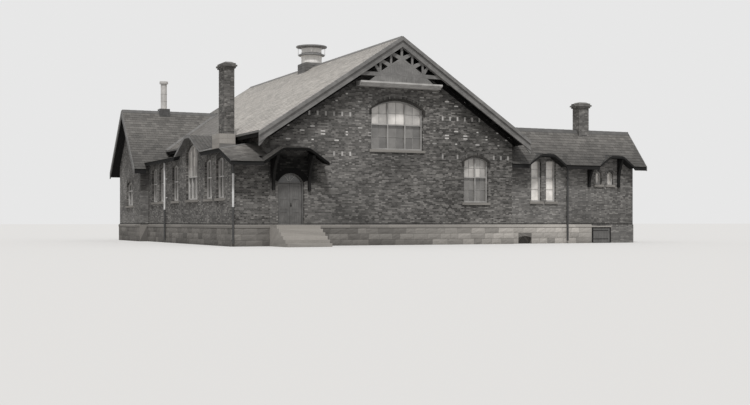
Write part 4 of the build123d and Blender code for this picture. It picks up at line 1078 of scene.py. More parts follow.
def gable_light(left, right, low, high):
    """Pale bricks above 0, painted shade under the hood and painted shadow under the verges below 0, and a
    little weather between.
    """
    black = hood_shade_at((left + right) / 2, low)
    if black > 0.0:
        return -black * draw.uniform(*hood_shade_uneven)
    for across, level in MARKS:
        if left <= across < right and low <= level < high:
            return 1.0 if abs(across) > pale_faded else faded_tone
    middle = abs(left + right) / 2
    below = nave_ridge - nave_slab - frieze_boards[1][1] - falls["nave_right"] * middle - high
    # Painted shadow: bricks close under the verges' frieze are blackened
    if below < verge_shadow_reach:
        return verge_shadow_tone * draw.uniform(*verge_shadow_uneven)
    return max(0.0, left_weather * (1.0 - left / left_fade))


def paler_by(amount, foot=0.0):
    """Walls made a little paler or darker than the street front, as painted light for how light falls on
    each, and more so at the foot.
    """
    return lambda left, right, low, high: amount + (foot if high < base_top else 0.0)


def stand_bricks(shape, region, holes, places):
    """Pale bricks set upright, each three courses tall; gives the fields that they take."""
    taken = []
    rows = [(low, high) for row, low, high, stretches in region.rows(course)]
    for across, level in places:
        spanned = [(low, high) for low, high in rows if abs((low + high) / 2 - level) < upright[1] / 2]
        if not spanned:
            continue
        low, high = spanned[0][0], spanned[-1][1]
        solid = meet(region.cross(low + row_edge), region.cross(high - row_edge))
        left, right = across - upright[0] / 2, across + upright[0] / 2
        near = [hole for hole in holes if hole.spring < high and low < hole.crown + stretcher]
        ringed = any(abs(across - hole.middle) < hole.reach(low) + stretcher for hole in near)
        if not ringed and any(start < left and right < end for start, end in solid):
            taken.append((left, right, low, high))
            corners = region.field(left, right, low, high, joint / 4)
            shape.slab(corners, region.n, 0.0, brick_proud, upright_tone)
    return taken


def lay_bricks(shape, region, holes=(), light=paler_by(0.0), above=0.0, uprights=()):
    """A brick bond over a face, cut round its holes and the bricks set upright."""
    pair = stretcher + header
    taken = stand_bricks(shape, region, holes, uprights)
    for row, low, high, stretches in region.rows(course):
        if high < above:
            continue
        for hole in holes:
            if high > hole.spring and low < hole.crown + hole.ring:
                reach = max(hole.reach(low + row_edge), hole.reach(high - row_edge))
                stretches = cut(stretches, hole.middle - reach, hole.middle + reach)
        for left, right, bottom, top in taken:
            if bottom < (low + high) / 2 < top:
                stretches = cut(stretches, left, right)
        # The lowest course over the stone base is made darker
        foot_course = row == 0 and abs(low - base_top) < foot_course_reach
        for start, end in stretches:
            for step in range(math.floor(start / pair) - 1, math.ceil(end / pair) + 1):
                base = step * pair + (pair / 2 if row % 2 else 0.0)
                for left, right in ((base, base + stretcher), (base + stretcher, base + pair)):
                    left, right = max(left, start), min(right, end)
                    if right - left > smallest_brick:
                        tone = light(left, right, low, high)
                        proud = brick_proud * draw.uniform(*brick_uneven)
                        corners = region.field(left, right, low, high, joint / 2)
                        shape.slab(corners, region.n, 0.0, proud, foot_course_tone if foot_course else tone)


def brick_ring(shape, region, hole, hood_shaded):
    """Voussoirs over a hole, which also line the arch's underside."""
    middle_line = hole.radius + hole.ring / 2
    count = parts(2 * hole.angle * middle_line, ring_brick, ring_fewest)
    count += 1 - count % 2
    slack = joint / 2 / middle_line
    # Over the door, the voussoirs are blackened with the painted shade under the hood
    tone = -hood_shade_at(hole.middle, hole.spring + hole.ring) if hood_shaded else 0.0
    inner, outer = hole.radius - ring_inset, hole.radius + hole.ring
    for step in range(count):
        start = -hole.angle + 2 * hole.angle * step / count + slack
        end = -hole.angle + 2 * hole.angle * (step + 1) / count - slack
        corners = []
        for angle, out in cell(start, end, inner, outer):
            across, up = out * math.sin(angle), out * math.cos(angle)
            corners.append(region.place(hole.middle + across, hole.centre + up))
        shape.slab(corners, region.n, -window_reveal, ring_proud, tone)


def jamb_bricks(shape, region, hole):
    """Brick ends that line the sides of an opening."""
    count = parts(hole.spring - hole.sill, course)
    step = (hole.spring - hole.sill) / count
    for side in (-1, 1):
        edge = hole.middle + side * hole.half
        for row in range(count):
            low = hole.sill + row * step + joint / 2
            foot, head = region.place(edge, low), region.place(edge, low + step - joint)
            back, out = region.n * window_reveal, region.n * brick_proud
            corners = [foot - back, foot + out, head + out, head - back]
            if side > 0:
                corners.reverse()
            shape.slab(corners, region.u * -side, -jamb_back, jamb_proud)


def brick_wall(name, names, normal, level=None, light=paler_by(0.0), more_holes=(), above=0.0, uprights=()):
    region = Region(names, normal, level)
    holes = [hole for hole in map(Hole, region.inner()) if hole.rise > tolerance]
    holes += more_holes
    shape = Shape()
    lay_bricks(shape, region, holes, light, above, uprights)
    for hole in holes:
        brick_ring(shape, region, hole, hole in more_holes)
        jamb_bricks(shape, region, hole)
    shape.make(name, BRICK, "brick")


def block_courses(shape, region):
    """Smooth dressed blocks in courses over one face."""
    for row, low, high, stretches in region.rows(stone_course):
        for start, end in stretches:
            for left, right in split(start, end, parts(end - start, block_length)):
                shape.slab(region.field(left, right, low, high, block_joint), region.n, 0.0, block_proud)


def lay_chimneys():
    pedestal = Shape()
    for chimney, light in (("left_chimney", paler_by(0.05)), ("right_chimney", paler_by(0.08))):
        shape = Shape()
        for normal in (FRONT, BACK, LEFT, RIGHT):
            for level in plane_levels(chimney, normal, stack_area):
                region = Region(chimney, normal, level)
                if region.span_v()[1] > pedestal_top + tolerance:
                    lay_bricks(shape, region, light=light)
                else:
                    block_courses(pedestal, region)
        shape.make(f"{chimney}_bricks", BRICK, "brick")
    pedestal.make("pedestal_blocks", DRESSED, "dressed_stone")


def lay_walls():
    front = "front_wall front_wall_corner front_wall_over_door"
    wing_sides = "left_wing_side_walls left_wing_end_wall"
    door = max(map(Hole, Region("door_frame", FRONT).loops()), key=lambda hole: hole.crown - hole.sill)
    brick_wall("front_bricks", front, FRONT, light=gable_light, more_holes=[door], uprights=upright_marks())
    brick_wall("rear_bricks", "rear_wall", BACK)
    brick_wall("nave_side_bricks", "nave_right_wall front_wall rear_wall", RIGHT)
    brick_wall("nave_left_bricks", "nave_arcade front_wall_corner", LEFT, above=aisle_top)
    brick_wall("rear_corner_bricks", "rear_wall", LEFT)
    # The amounts given to paler_by are painted light
    brick_wall("aisle_front_bricks", "aisle_front_wall", FRONT, light=paler_by(-0.1))
    brick_wall("aisle_side_bricks", "aisle_side_wall aisle_front_wall", LEFT, light=paler_by(0.06))
    brick_wall("cross_wing_bricks", "left_wing_end_wall", LEFT, light=paler_by(0.14))
    brick_wall("cross_wing_front_bricks", wing_sides, FRONT, -left_wing_y, paler_by(0.16))
    brick_wall("cross_wing_rear_bricks", wing_sides, BACK)
    brick_wall("right_wing_front_bricks", "right_wing_front_wall", FRONT, light=paler_by(0.12))
    brick_wall("right_wing_end_bricks", "right_wing_end_wall corner_bay_wall", RIGHT)
    brick_wall("right_wing_rear_bricks", "right_wing_rear_wall right_wing_end_wall", BACK)
    for index, level in enumerate(plane_levels("corner_bay_wall", FRONT, bay_area)):
        brick_wall(f"corner_bay_bricks_{index + 1}", "corner_bay_wall", FRONT, level, paler_by(0.07, 0.1))
    lay_chimneys()


# Stone base
def stone_shade(place):
    """How pale a block is: the left end of the building is the sootiest."""
    return share((place.x + stone_sooty[0]) / stone_sooty[1])


def stone_face(shape, region, left, right, low, high):
    """One block with a hewn face: a grid whose inner points are knocked about."""
    columns = parts(right - left, face_step[0], 2)
    rows = parts(high - low, face_step[1], 2)
    points, faces = [], []
    for j in range(rows + 1):
        for i in range(columns + 1):
            u = left + (right - left) * i / columns
            v = low + (high - low) * j / rows
            if i in (0, columns) or j in (0, rows):
                lift = stone_proud * edge_share
            else:
                lift = stone_proud + draw.uniform(-stone_rough, stone_rough)
            points.append(region.place(u, v) + region.n * lift)
    for j in range(rows):
        for i in range(columns):
            a = j * (columns + 1) + i
            faces.append((a, a + 1, a + columns + 2, a + columns + 1))
    border = list(range(columns + 1))
    border += [(j + 1) * (columns + 1) - 1 for j in range(1, rows + 1)]
    border += [rows * (columns + 1) + i for i in range(columns - 1, -1, -1)]
    border += [j * (columns + 1) for j in range(rows - 1, 0, -1)]
    foot = len(points)
    points.extend([points[i] - region.n * (points[i].dot(region.n) - region.level) for i in border])
    for k in range(len(border)):
        after = (k + 1) % len(border)
        faces.append((border[after], border[k], foot + k, foot + after))
    shape.add(points, faces, stone_shade(region.place((left + right) / 2, low)))


def stone_cap(cap, region, high):
    """Cap stones with a moulded front, end to end along the top of the base."""
    for start, end in region.cross(high - cap_height / 2):
        for left, right in split(start, end, parts(end - start, cap_length)):
            ends = (left + board_end, right - board_end)
            points = [region.place(u, high + up) + region.n * out for u in ends for out, up in cap_profile]
            faces = [(0, 4, 5, 1), (1, 5, 6, 2), (2, 6, 7, 3), (0, 1, 2, 3), (7, 6, 5, 4)]
            cap.add(points, faces, stone_shade(points[0]))


def stone_base(name, node, normal, level=None):
    region = Region(node, normal, level)
    low, high = region.span_v()
    shape, cap = Shape(), Shape()
    rows = parts(high - low - cap_height, stone_course)
    step = (high - low - cap_height) / rows
    inset = stone_joint / 2
    for row in range(rows):
        bottom, top = low + row * step, low + (row + 1) * step
        stretches = meet(region.cross(bottom + stone_edge), region.cross(top - stone_edge))
        for left, end in meet(stretches, region.cross((bottom + top) / 2)):
            while left < end - tolerance:
                right = left + draw.uniform(*stone_widths)
                right = end if end - right < stone_least else right
                stone_face(shape, region, left + inset, right - inset, bottom + inset, top - inset)
                left = right
    stone_cap(cap, region, high)
    shape.make(name, BASE_STONE, "foundation_stone")
    cap.make(f"{name}_cap", BASE_CAP, "dressed_stone")


def lay_bases():
    for name, node, normal in (
        ("nave_base_front", "nave_foundation", FRONT), ("nave_base_rear", "nave_foundation", BACK),
        ("nave_base_side", "nave_foundation", RIGHT), ("nave_base_left", "nave_foundation", LEFT),
        ("left_base_front", "left_foundation", FRONT), ("aisle_base_side", "left_foundation", LEFT),
        ("cross_wing_base_end", "left_foundation", LEFT), ("cross_wing_base_rear", "left_foundation", BACK),
        ("right_base_front", "right_foundation", FRONT), ("right_base_end", "right_foundation", RIGHT),
        ("right_base_rear", "right_foundation", BACK),
    ):
        aisle = name == "aisle_base_side"
        stone_base(name, node, normal, plane_levels(node, normal, aisle_base_area)[0] if aisle else None)


# Roof covering
def slate(shape, corners, normal, lip, shares=(0, 0, 1, 1), tone=0.0):
    """A slate that stands up at its tail, share 0, and lies close at its head, share 1."""
    thick = slate_thick * draw.uniform(*slate_uneven)
    rise = [(lip + thick) * (1 - part) + thick * slate_head * part for part in shares]
    head = [corner + normal * up for corner, up in zip(corners, rise)]
    foot = [corner + normal * max(0.0, up - thick) for corner, up in zip(corners, rise)]
    shape.prism(foot, head, tone)


def slanted(region, low, high):
    """The solid parts of a row as four-cornered fields, so that slanting edges stay slanting."""
    under, over = region.cross(low + row_edge), region.cross(high - row_edge)
    if len(under) != len(over):
        return [cell(a, b, low, high) for a, b in meet(under, over)]
    return [[(a, low), (b, low), (d, high), (c, high)] for (a, b), (c, d) in zip(under, over)]


def rear_darkening(place):
    """The left slopes are darker low down towards the back, beside the wing and its stove pipe."""
    return share((place.y - rear_dark_line[0] - rear_dark_line[1] * (place.x + nave_eave)) / rear_dark_line[2])


def no_darkening(place):
    return 0.0


def slate_slope(name, slope, material, slot, shade=None):
    region = Region(slopes[slope][0], normals[slope])
    shape = Shape()
    foot, ridge = region.span_v()
    for row, low, high, stretches in region.rows(slate_exposure):
        eave_near = 1.0 - (low - foot) / (ridge - foot)
        shift = slate_width / 2 if row % 2 else 0.0
        for field in slanted(region, low, high):
            start, end = box_of(field)[:2]
            first, last = math.floor((start - shift) / slate_width), math.ceil((end - shift) / slate_width)
            for step in range(first, last + 1):
                gap = slate_gap * draw.uniform(*slate_gap_uneven)
                left, right = shift + step * slate_width + gap, shift + (step + 1) * slate_width - gap
                outline = clip(cell(left, right, low, high), field)
                if len(outline) < 3 or box_of(outline)[1] - box_of(outline)[0] < slate_least:
                    continue
                slip = draw.uniform(0.0, slate_slip) if draw.random() > loose_share else loose_slip
                slip += eave_drop if row == 0 else 0.0
                shares = [(v - low) / (high - low) for u, v in outline]
                corners = [region.place(u, v - slip * (1 - part)) for (u, v), part in zip(outline, shares)]
                tone = min(row_share, eave_near) + (1 - row_share) * shade(corners[0]) if shade else eave_near
                slate(shape, corners, region.n, slate_lip, shares, tone)
    shape.make(name, material, slot)


def drop_corners(tree, spots):
    """The points of a surface under some places in plan, up to the first that misses or is too steep."""
    corners = []
    for x, y in spots:
        hit, normal, index, distance = tree.ray_cast(Vector((x, y, drop_from)), -UP)
        if hit is None or normal.z < draped_steepest:
            break
        corners.append(hit)
    return corners


def draped_slates(name, node, field, rows, columns, material, slot, turned=False, keep=None):
    """Slates on a curved surface; field is its place in plan, as x, length in x, y and length in y.

    The rows follow each other along y, or along x when turned.
    """
    shape = Shape()
    mesh = nodes[node].data
    points, faces = [v.co.copy() for v in mesh.vertices], [tuple(f.vertices) for f in mesh.polygons]
    tree = BVHTree.FromPolygons(points, faces)
    for j in range(rows):
        shift = 0.5 if j % 2 else 0.0
        for i in range(-1, columns):
            left, right = max(0.0, (i + shift) / columns), min(1.0, (i + 1 + shift) / columns)
            if right - left < draped_least / columns:
                continue
            spots = cell(left, right, j / rows, (j + 1) / rows)
            if turned:
                spots = [(up, along) for along, up in spots]
            plan = [(field[0] + field[1] * a, field[2] + field[3] * b) for a, b in spots]
            corners = drop_corners(tree, plan)
            if len(corners) < 4 or (keep and not keep(corners)):
                continue
            centre = sum(corners, Vector()) / 4
            normal = (corners[1] - corners[0]).cross(corners[3] - corners[0]).normalized()
            if normal.z < 0:
                normal = -normal
            if max(abs((corner - centre).dot(normal)) for corner in corners) > draped_spread:
                continue
            corners = [centre + (corner - centre) * draped_size for corner in corners]
            slate(shape, corners, normal, draped_lip, tone=1.0)
    shape.make(name, material, slot)


def ridge_tiles(name, start, end, fall_left, fall_right, material, way, gap=(0, 0)):
    """Angled tiles end to end along a ridge; way is the direction of the left slope in plan."""
    shape = Shape()
    side = Vector(way)
    along = (end - start).normalized()
    length = (end - start).length
    count = round(length / ridge_tile)
    left = side * ridge_wing - UP * ridge_wing * fall_left
    right = -side * ridge_wing - UP * ridge_wing * fall_right
    for step in range(count):
        laps = []
        for k, (ahead, lift) in enumerate(ridge_laps):
            laps.append((start + along * (length * (step + k) / count + ahead), lift))
        if gap[0] < ((laps[0][0] + laps[1][0]) / 2).dot(along) < gap[1]:
            continue
        points = []
        for place, lift in laps:
            top = UP * (ridge_rise + lift)
            flat = UP * (ridge_thick + lift)
            points += [place + left + flat, place + side * ridge_top + top]
            points += [place - side * ridge_top + top, place + right + flat, place + left, place + right]
        faces = [(0, 1, 7, 6), (1, 2, 8, 7), (2, 3, 9, 8), (4, 0, 6, 10), (3, 5, 11, 9)]
        faces += [(0, 4, 5, 3, 2, 1), (6, 7, 8, 9, 11, 10)]
        shape.add(points, faces)
    shape.make(name, material, "sheet_metal")


def plane_of(slope):
    return normals[slope], Region(slopes[slope][0], normals[slope]).level


def crossing(slope, other, axis, value):
    """Where two roof slopes and the plane across one axis meet."""
    planes = (plane_of(slope), plane_of(other), (RIGHT if axis == 0 else BACK, value))
    rows = np.array([tuple(normal) for normal, level in planes])
    return Vector(np.linalg.solve(rows, np.array([level for normal, level in planes])))


def lead_strip(shape, start, end, sides):
    """Sheet lead along a hip or valley; sides pairs each slope's normal with a point well inside it."""
    along = (end - start).normalized()
    for normal, inside in sides:
        out = normal.cross(along)
        if out.dot(inside - start) < 0:
            out = -out
        corners = [start, end, end + out * lead_wing, start + out * lead_wing]
        if (corners[1] - corners[0]).cross(corners[3] - corners[0]).dot(normal) < 0:
            corners.reverse()
        shape.slab(corners, normal, 0.0, lead_thick)


def middle_of(slope):
    low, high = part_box(slopes[slope][0])
    return Vector([(a + b) / 2 for a, b in zip(low, high)])


def lead_lines():
    """Hip of the aisle roof, and the valleys where the wings' roofs run into the nave's."""
    shape = Shape()
    low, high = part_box("aisle_roof")
    ends = [crossing("aisle", "aisle_front", 0, x) for x in (low[0], high[0])]
    aisle = (normals["aisle"], Vector((low[0], *aisle_inside)))
    lead_strip(shape, *ends, (aisle, (normals["aisle_front"], Vector(aisle_front_inside))))
    for nave, wing in (
        ("nave_left", "cross_wing_front"), ("nave_left", "cross_wing_rear"),
        ("nave_right", "right_wing_front"), ("nave_right", "right_wing_rear"),
    ):
        low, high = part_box(slopes[wing][0])
        ridge_y = high[1] if normals[wing].y < 0 else low[1]
        eave_x = nave_eave if normals[nave].x > 0 else -nave_eave
        foot, head = crossing(nave, wing, 0, eave_x), crossing(nave, wing, 1, ridge_y)
        lead_strip(shape, foot, head, [(normals[slope], middle_of(slope)) for slope in (nave, wing)])
    shape.make("lead_hips_and_valleys", LEAD, "sheet_metal")


def drape_curves():
    """Slates on the curved roofs: the aisle's raised eave, the door's hood and the wing's raised eaves."""
    low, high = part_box("aisle_dormer")
    size = (high[0] - low[0], high[1] - low[1])
    field = (low[0] + dormer_inset, size[0], low[1], size[1])
    rows, columns = round(size[0] / dormer_slate[0]), round(size[1] / dormer_slate[1])
    draped_slates("dormer_slates", "aisle_dormer", field, rows, columns, SLATE_MID, "roof_covering", True)
    low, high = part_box("entrance_hood")
    field = []
    for axis in (0, 1):
        field += [low[axis] + hood_inset, high[axis] - low[axis] - 2 * hood_inset]
    columns = round((high[0] - low[0]) / hood_slate)
    draped_slates("hood_slates", "entrance_hood", field, hood_rows, columns, SLATE_DARK, "wing_roofing")
    normal, level = plane_of("right_wing_front")
    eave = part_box("right_wing_roof_front")[0][1] + brow_inset

    def raised(corners):
        return min(corner.dot(normal) for corner in corners) > level + brow_clear

    rows = round(brow_run / brow_slate)
    for index, brow in enumerate(brow_places):
        name = f"brow_slates_{index + 1}"
        place = ("right_wing_roof_front", (brow - brow_half, 2 * brow_half, eave, brow_run))
        draped_slates(name, *place, rows, brow_columns, SLATE_DARK, "wing_roofing", keep=raised)


def cap_ridges():
    fall = falls["nave_left"]
    base_low, base_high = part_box("ventilator_base")
    ends = [Vector((0, y, nave_ridge)) for y in nave_verges]
    ridge_tiles("nave_ridge_tiles", *ends, fall, fall, LEAD, LEFT, (base_low[1], base_high[1]))
    low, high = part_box("left_wing_roof_front")
    reach = (nave_ridge - high[2]) / fall
    ends = [Vector((x, high[1], high[2])) for x in (low[0], -reach + ridge_run_in[0])]
    pair = (falls["cross_wing_front"], falls["cross_wing_rear"])
    ridge_tiles("cross_wing_ridge_tiles", *ends, *pair, DARK_LEAD, FRONT)
    low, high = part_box("right_wing_roof_front")
    ends = [Vector((x, high[1], high[2])) for x in (nave_eave - ridge_run_in[1], high[0])]
    pair = (falls["right_wing_front"], falls["right_wing_rear"])
    ridge_tiles("right_wing_ridge_tiles", *ends, *pair, DARK_LEAD, FRONT)


def cover_roofs():
    slate_slope("nave_slates_left", "nave_left", SLATE_PALE, "roof_covering", rear_darkening)
    slate_slope("nave_slates_right", "nave_right", SLATE_PALE, "roof_covering", no_darkening)
    slate_slope("aisle_slates", "aisle", SLATE_PALE, "roof_covering", rear_darkening)
    slate_slope("aisle_front_slates", "aisle_front", SLATE_MID, "roof_covering")
    for wing in ("cross_wing", "right_wing"):
        for side in ("front", "rear"):
            slate_slope(f"{wing}_slates_{side}", f"{wing}_{side}", SLATE_DARK, "wing_roofing")
    drape_curves()
    lead_lines()
    cap_ridges()


# Carpentry under the roofs
def spaced(start, end, pitch):
    count = parts(end - start, pitch)
    return [start + (end - start) * (step + 0.5) / count for step in range(count)]


def rafter_feet(name, places, run, fall, eave, depth, slab):
    """Rafter feet that follow the roof's underside from the wall out, each cut back on a slant at its end."""
    reach = eave - rafter_back
    in_share, up_share = rafter_curve
    profile = [
        (0.0, -slab), (reach, -slab - fall * reach), (reach, -slab - fall * reach - depth * up_share),
        (reach * in_share, -slab - fall * reach * in_share - depth), (0.0, -slab - depth),
    ]
    shape = Shape()
    out = Vector(run)
    for place in places:
        corners = [place + out * along + UP * up for along, up in profile]
        shape.slab(corners, UP.cross(out), -rafter_width / 2, rafter_width / 2, bottom=True)
    shape.make(name, SOFFIT, "painted_boards")


def hang_rafters():
    fall = falls["nave_right"]
    wall_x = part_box("nave_right_wall")[1][0]
    along = spaced(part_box("right_wing_roof_rear")[1][1], nave_verges[1] - nave_rafter_end, nave_rafter[0])
    places = [Vector((wall_x, y, nave_ridge - fall * wall_x)) for y in along]
    rafter_feet("nave_rafter_feet", places, RIGHT, fall, nave_eave - wall_x, nave_rafter[1], nave_slab)
    for name, side, eave, run, (pitch, depth), skipped in (
        ("right_wing_rafter_feet", "front", 0, FRONT, wing_rafter, brow_places),
        ("right_wing_rear_rafter_feet", "rear", 1, BACK, rear_rafter, ()),
    ):
        fall = falls[f"right_wing_{side}"]
        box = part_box(f"right_wing_roof_{side}")
        wall_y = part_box(f"right_wing_{side}_wall")[eave][1]
        top = box[1][2] - fall * abs(box[1 - eave][1] - wall_y)
        along = spaced(nave_eave + rafter_ends[0], box[1][0] - rafter_ends[1], pitch)
        along = [x for x in along if all(abs(x - brow) > brow_half for brow in skipped)]
        places = [Vector((x, wall_y, top)) for x in along]
        rafter_feet(name, places, run, fall, abs(wall_y - box[eave][1]), depth, wing_slab)


def purlin_ends(name, near, far, places):
    """Square purlin ends under a verge, from the wall to the back of the boards."""
    shape = Shape()
    for side in (-1, 1):
        for across in places:
            x = side * across
            top = nave_ridge - nave_slab - falls["nave_left"] * (abs(x) + purlin_half)
            shape.block((x - purlin_half, near, top - purlin_deep), (x + purlin_half, far, top))
    shape.make(name, SOFFIT, "painted_boards")


def gable_boards():
    """Upright boards side by side over the panel in the gable."""
    region = Region("gable_panel", FRONT, along=Vector(RIGHT))
    shape = Shape()
    for row, low, high, stretches in region.rows(panel_board):
        for start, end in stretches:
            lift = panel_proud * draw.uniform(*panel_uneven)
            a, b, c, d = start + board_end, end - board_end, low + panel_gap / 2, high - panel_gap / 2
            shape.slab(region.field(a, b, c, d), region.n, 0.0, lift)
    shape.make("gable_boards", BOARD_PALE, "pale_boards")


# Pierced truss in the front gable
def truss_member(shape, front_y, points, side):
    corners = [Vector((side * x, front_y, z)) for x, z in points]
    if side < 0:
        corners.reverse()
    shape.bevelled(corners, Vector(FRONT), -truss_thick, 0.0, truss_edge)


def truss_line(drop, x):
    """The height that lies a drop under the ridge's line, at x from the middle."""
    return nave_ridge - drop - falls["nave_right"] * x


def truss_chords(shape, front_y, ends, side):
    """The lower rib in short lengths, which step down to the panel behind."""
    panel = Region("gable_panel", FRONT, along=Vector(RIGHT))
    for start, end in zip(ends, ends[1:]):
        if truss_line(chord_drop, end) < tie_beam[1]:
            end = (nave_ridge - chord_drop - tie_beam[1]) / falls["nave_right"]
        under = []
        for x in (start, end):
            behind = -panel.cross(x + chord_probe)[0][0] - chord_lap
            under.append(min(behind, truss_line(chord_drop + chord_least, x)))
        chord = [(start, under[0]), (end, under[1])]
        chord += [(end, truss_line(chord_drop, end)), (start, truss_line(chord_drop, start))]
        truss_member(shape, front_y + truss_rib_back, chord, side)


def truss_posts(shape, front_y, ends, side):
    """Posts between the ribs, and the braces between posts."""
    half = truss_post / 2
    for x in ends[1:3]:
        post = [(x + a, truss_line(chord_drop, x + a) - post_tenon) for a in (-half, half)]
        post += [(x + a, truss_line(rafter_band[1], x + a) + post_tenon) for a in (half, -half)]
        truss_member(shape, front_y + truss_post_back, post, side)
    for start, end in zip(ends[:2], ends[1:3]):
        a, b = start + half, end - half
        brace = [(x, truss_line(drop, x)) for x, drop in zip((a, b, b, a), brace_drops)]
        truss_member(shape, front_y + truss_brace_back, brace, side)
    a = ends[2] + half
    brace = []
    for out, up in last_brace:
        head = truss_line(rafter_band[1] - brace_tenon, a + out)
        brace.append((a + out, head if up is None else tie_beam[1] + up))
    truss_member(shape, front_y + truss_brace_back, brace, side)


def gable_truss():
    fall = falls["nave_right"]
    low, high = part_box("gable_fretwork")
    shape = Shape()
    foot, inner_foot = [(nave_ridge - drop - low[2]) / fall for drop in rafter_band]
    ends = [step * truss_pitch for step in range(truss_bays)]
    for side in (-1, 1):
        rafter = [(0, truss_line(rafter_band[1], 0)), (inner_foot, low[2])]
        rafter += [(foot, low[2]), (0, truss_line(rafter_band[0], 0))]
        truss_member(shape, low[1], rafter, side)
        truss_chords(shape, low[1], ends, side)
        truss_posts(shape, low[1], ends, side)
        reach = [(nave_ridge - rafter_band[1] + beam_tenon - z) / fall for z in tie_beam]
        beam = [(0, tie_beam[0]), (reach[0], tie_beam[0]), (reach[1], tie_beam[1]), (0, tie_beam[1])]
        truss_member(shape, low[1], beam, side)
    half = king_post / 2
    shoulder = truss_line(rafter_band[1], half)
    king = [(-half, tie_beam[1]), (half, tie_beam[1]), (half, shoulder)]
    king += [(0, truss_line(rafter_band[1], 0)), (-half, shoulder)]
    truss_member(shape, low[1], king, 1)
    made = shape.make("gable_truss", BOARD_EDGE, "painted_boards")
    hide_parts("gable_fretwork")


def frieze(name, wall_y, normal):
    """Dark boards on the wall close under a verge, in two widths with joints along their length; their
    near-black paint is partly painted shadow under the verge.
    """
    fall = falls["nave_right"]
    top = nave_ridge - nave_slab - frieze_drop
    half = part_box("nave_right_wall")[1][0]
    shape = Shape()
    for side in (-1, 1):
        for (high, low), thick in zip(frieze_boards, frieze_thick):
            for start, end in split(0.0, half, round(half / frieze_length)):
                points = cell(start + board_end, end - board_end, low, high)
                corners = [Vector((side * x, wall_y, top - drop - fall * x)) for x, drop in points]
                if side * normal[1] > 0:
                    corners.reverse()
                shape.bevelled(corners, Vector(normal), 0.0, thick, frieze_edge)
    shape.make(name, SHADOW_BLACK, "painted_boards")


def cellar_hatch():
    """A low boarded door in the foot of the corner bay."""
    left, right, low, high = hatch
    wall_y = -plane_levels("corner_bay_wall", FRONT, bay_area)[-1]
    frame, lintel, boards, iron = Shape(), Shape(), Shape(), Shape()

    def piece(shape, a, b, c, d, proud, edge=hatch_edge):
        corners = [Vector((x, wall_y, z)) for x, z in cell(a, b, c, d)]
        shape.bevelled(corners, Vector(FRONT), -hatch_inset, proud, edge)

    inner = (left + hatch_frame, right - hatch_frame)
    piece(frame, left, inner[0], low, high, hatch_proud)
    piece(frame, inner[1], right, low, high, hatch_proud)
    piece(frame, left, right, high - hatch_head, high, hatch_proud)
    past, top, proud = hatch_lintel
    piece(lintel, left - past, right + past, high + board_end, high + top, proud)
    for a, b in split(*inner, hatch_boards):
        piece(boards, a + hatch_board_gap, b - hatch_board_gap, low, high - hatch_head, hatch_board_proud)
    for level in (low + hatch_straps[0], high - hatch_straps[1]):
        piece(iron, inner[0], inner[1] - strap_end, level, level + strap_width, strap_proud, strap_edge)
    lintel.make("cellar_hatch_lintel", DRESSED, "dressed_stone")
    frame.make("cellar_hatch_frame", BOARD_DARK, "painted_boards")
    boards.make("cellar_hatch_boards", DOOR_WOOD, "door_boards")
    iron.make("cellar_hatch_straps", IRON, "ironwork")


def hang_woodwork():
    gable_truss()
    frieze("front_frieze_boards", 0.0, FRONT)
    frieze("rear_frieze_boards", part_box("rear_wall")[1][1], BACK)
    cellar_hatch()
    purlin_ends("front_purlin_ends", *front_purlin_ends, front_purlins)
    purlin_ends("rear_purlin_ends", *rear_purlin_ends, rear_purlins)
    gable_boards()


# Windows
def add_pane(panes, region, sheet, outline, a, b, c, d, tone):
    """One pane, clipped to its light, leaning a little and with a tone of its own."""
    field = clip(cell(a, b, c, d), outline)
    if len(field) < 3:
        return
    lean = (draw.uniform(-pane_lean, pane_lean), draw.uniform(-pane_lean, pane_lean))
    points = []
    for u, v in field:
        depth = pane_proud + lean[0] * ((u - a) / (b - a) - 0.5) + lean[1] * ((v - c) / (d - c) - 0.5)
        points.append(sheet.place(u, v) + sheet.n * depth)
    shade = share(tone(region.place((a + b) / 2, (c + d) / 2)) + draw.uniform(-pane_uneven, pane_uneven))
    panes.add(points, [tuple(range(len(points)))], shade)


def add_bar(bars, sheet, strip, outline, deep):
    bars.slab([sheet.place(*point) for point in clip(strip, outline)], sheet.n, 0.0, deep)


def glaze(panes, bars, frames, glass, normal, level, tone):
    """Panes and glazing bars in the lights of the frames at one level."""
    region = Region(frames, normal, level)
    nearest, farthest = pane_behind
    behind = [near for near in plane_levels(glass, normal, glass_area) if nearest < level - near < farthest]
    if not behind:
        return
    sheet = Region(glass, normal, behind[0])
    half = muntin / 2
    for loop in region.inner():
        outline = ordered([loop[k] for k in geometry.convex_hull_2d(loop)])
        left, right, low, high = box_of(outline)
        columns = split(left, right, parts(right - left, pane_width))
        rows = split(low, high, parts(high - low, pane_height))
        for c, d in rows:
            for a, b in columns:
                add_pane(panes, region, sheet, outline, a, b, c, d, tone)
        for u, after in columns[1:]:
            add_bar(bars, sheet, cell(u - half, u + half, low, high), outline, muntin_deep)
        for v, after in rows[1:]:
            add_bar(bars, sheet, cell(left, right, v - half, v + half), outline, muntin_deep)


def street_reflection(place):
    """Painted reflection: bright panes in the wing, and in the nave brighter ones over dark ones."""
    if place.x > wing_windows_x:
        return wing_pane_reflection
    if place.x > nave_window_x:
        return nave_pane_reflections[0 if place.z > nave_window_split else 1]
    return centre_pane_reflections[0 if place.z > centre_window_split else 1]


def side_reflection(place):
    """Painted reflection: dark panes low down, brighter ones above, and the brightest in the tall window."""
    tall, upper, lower = aisle_pane_reflections
    if place.z < aisle_window_split:
        return lower
    return tall if abs(place.y - dormer_y) < dormer_reach else upper


# Painted reflection: one tone for the panes at the back of the nave
def plain_reflection(place):
    return plain_pane_reflection


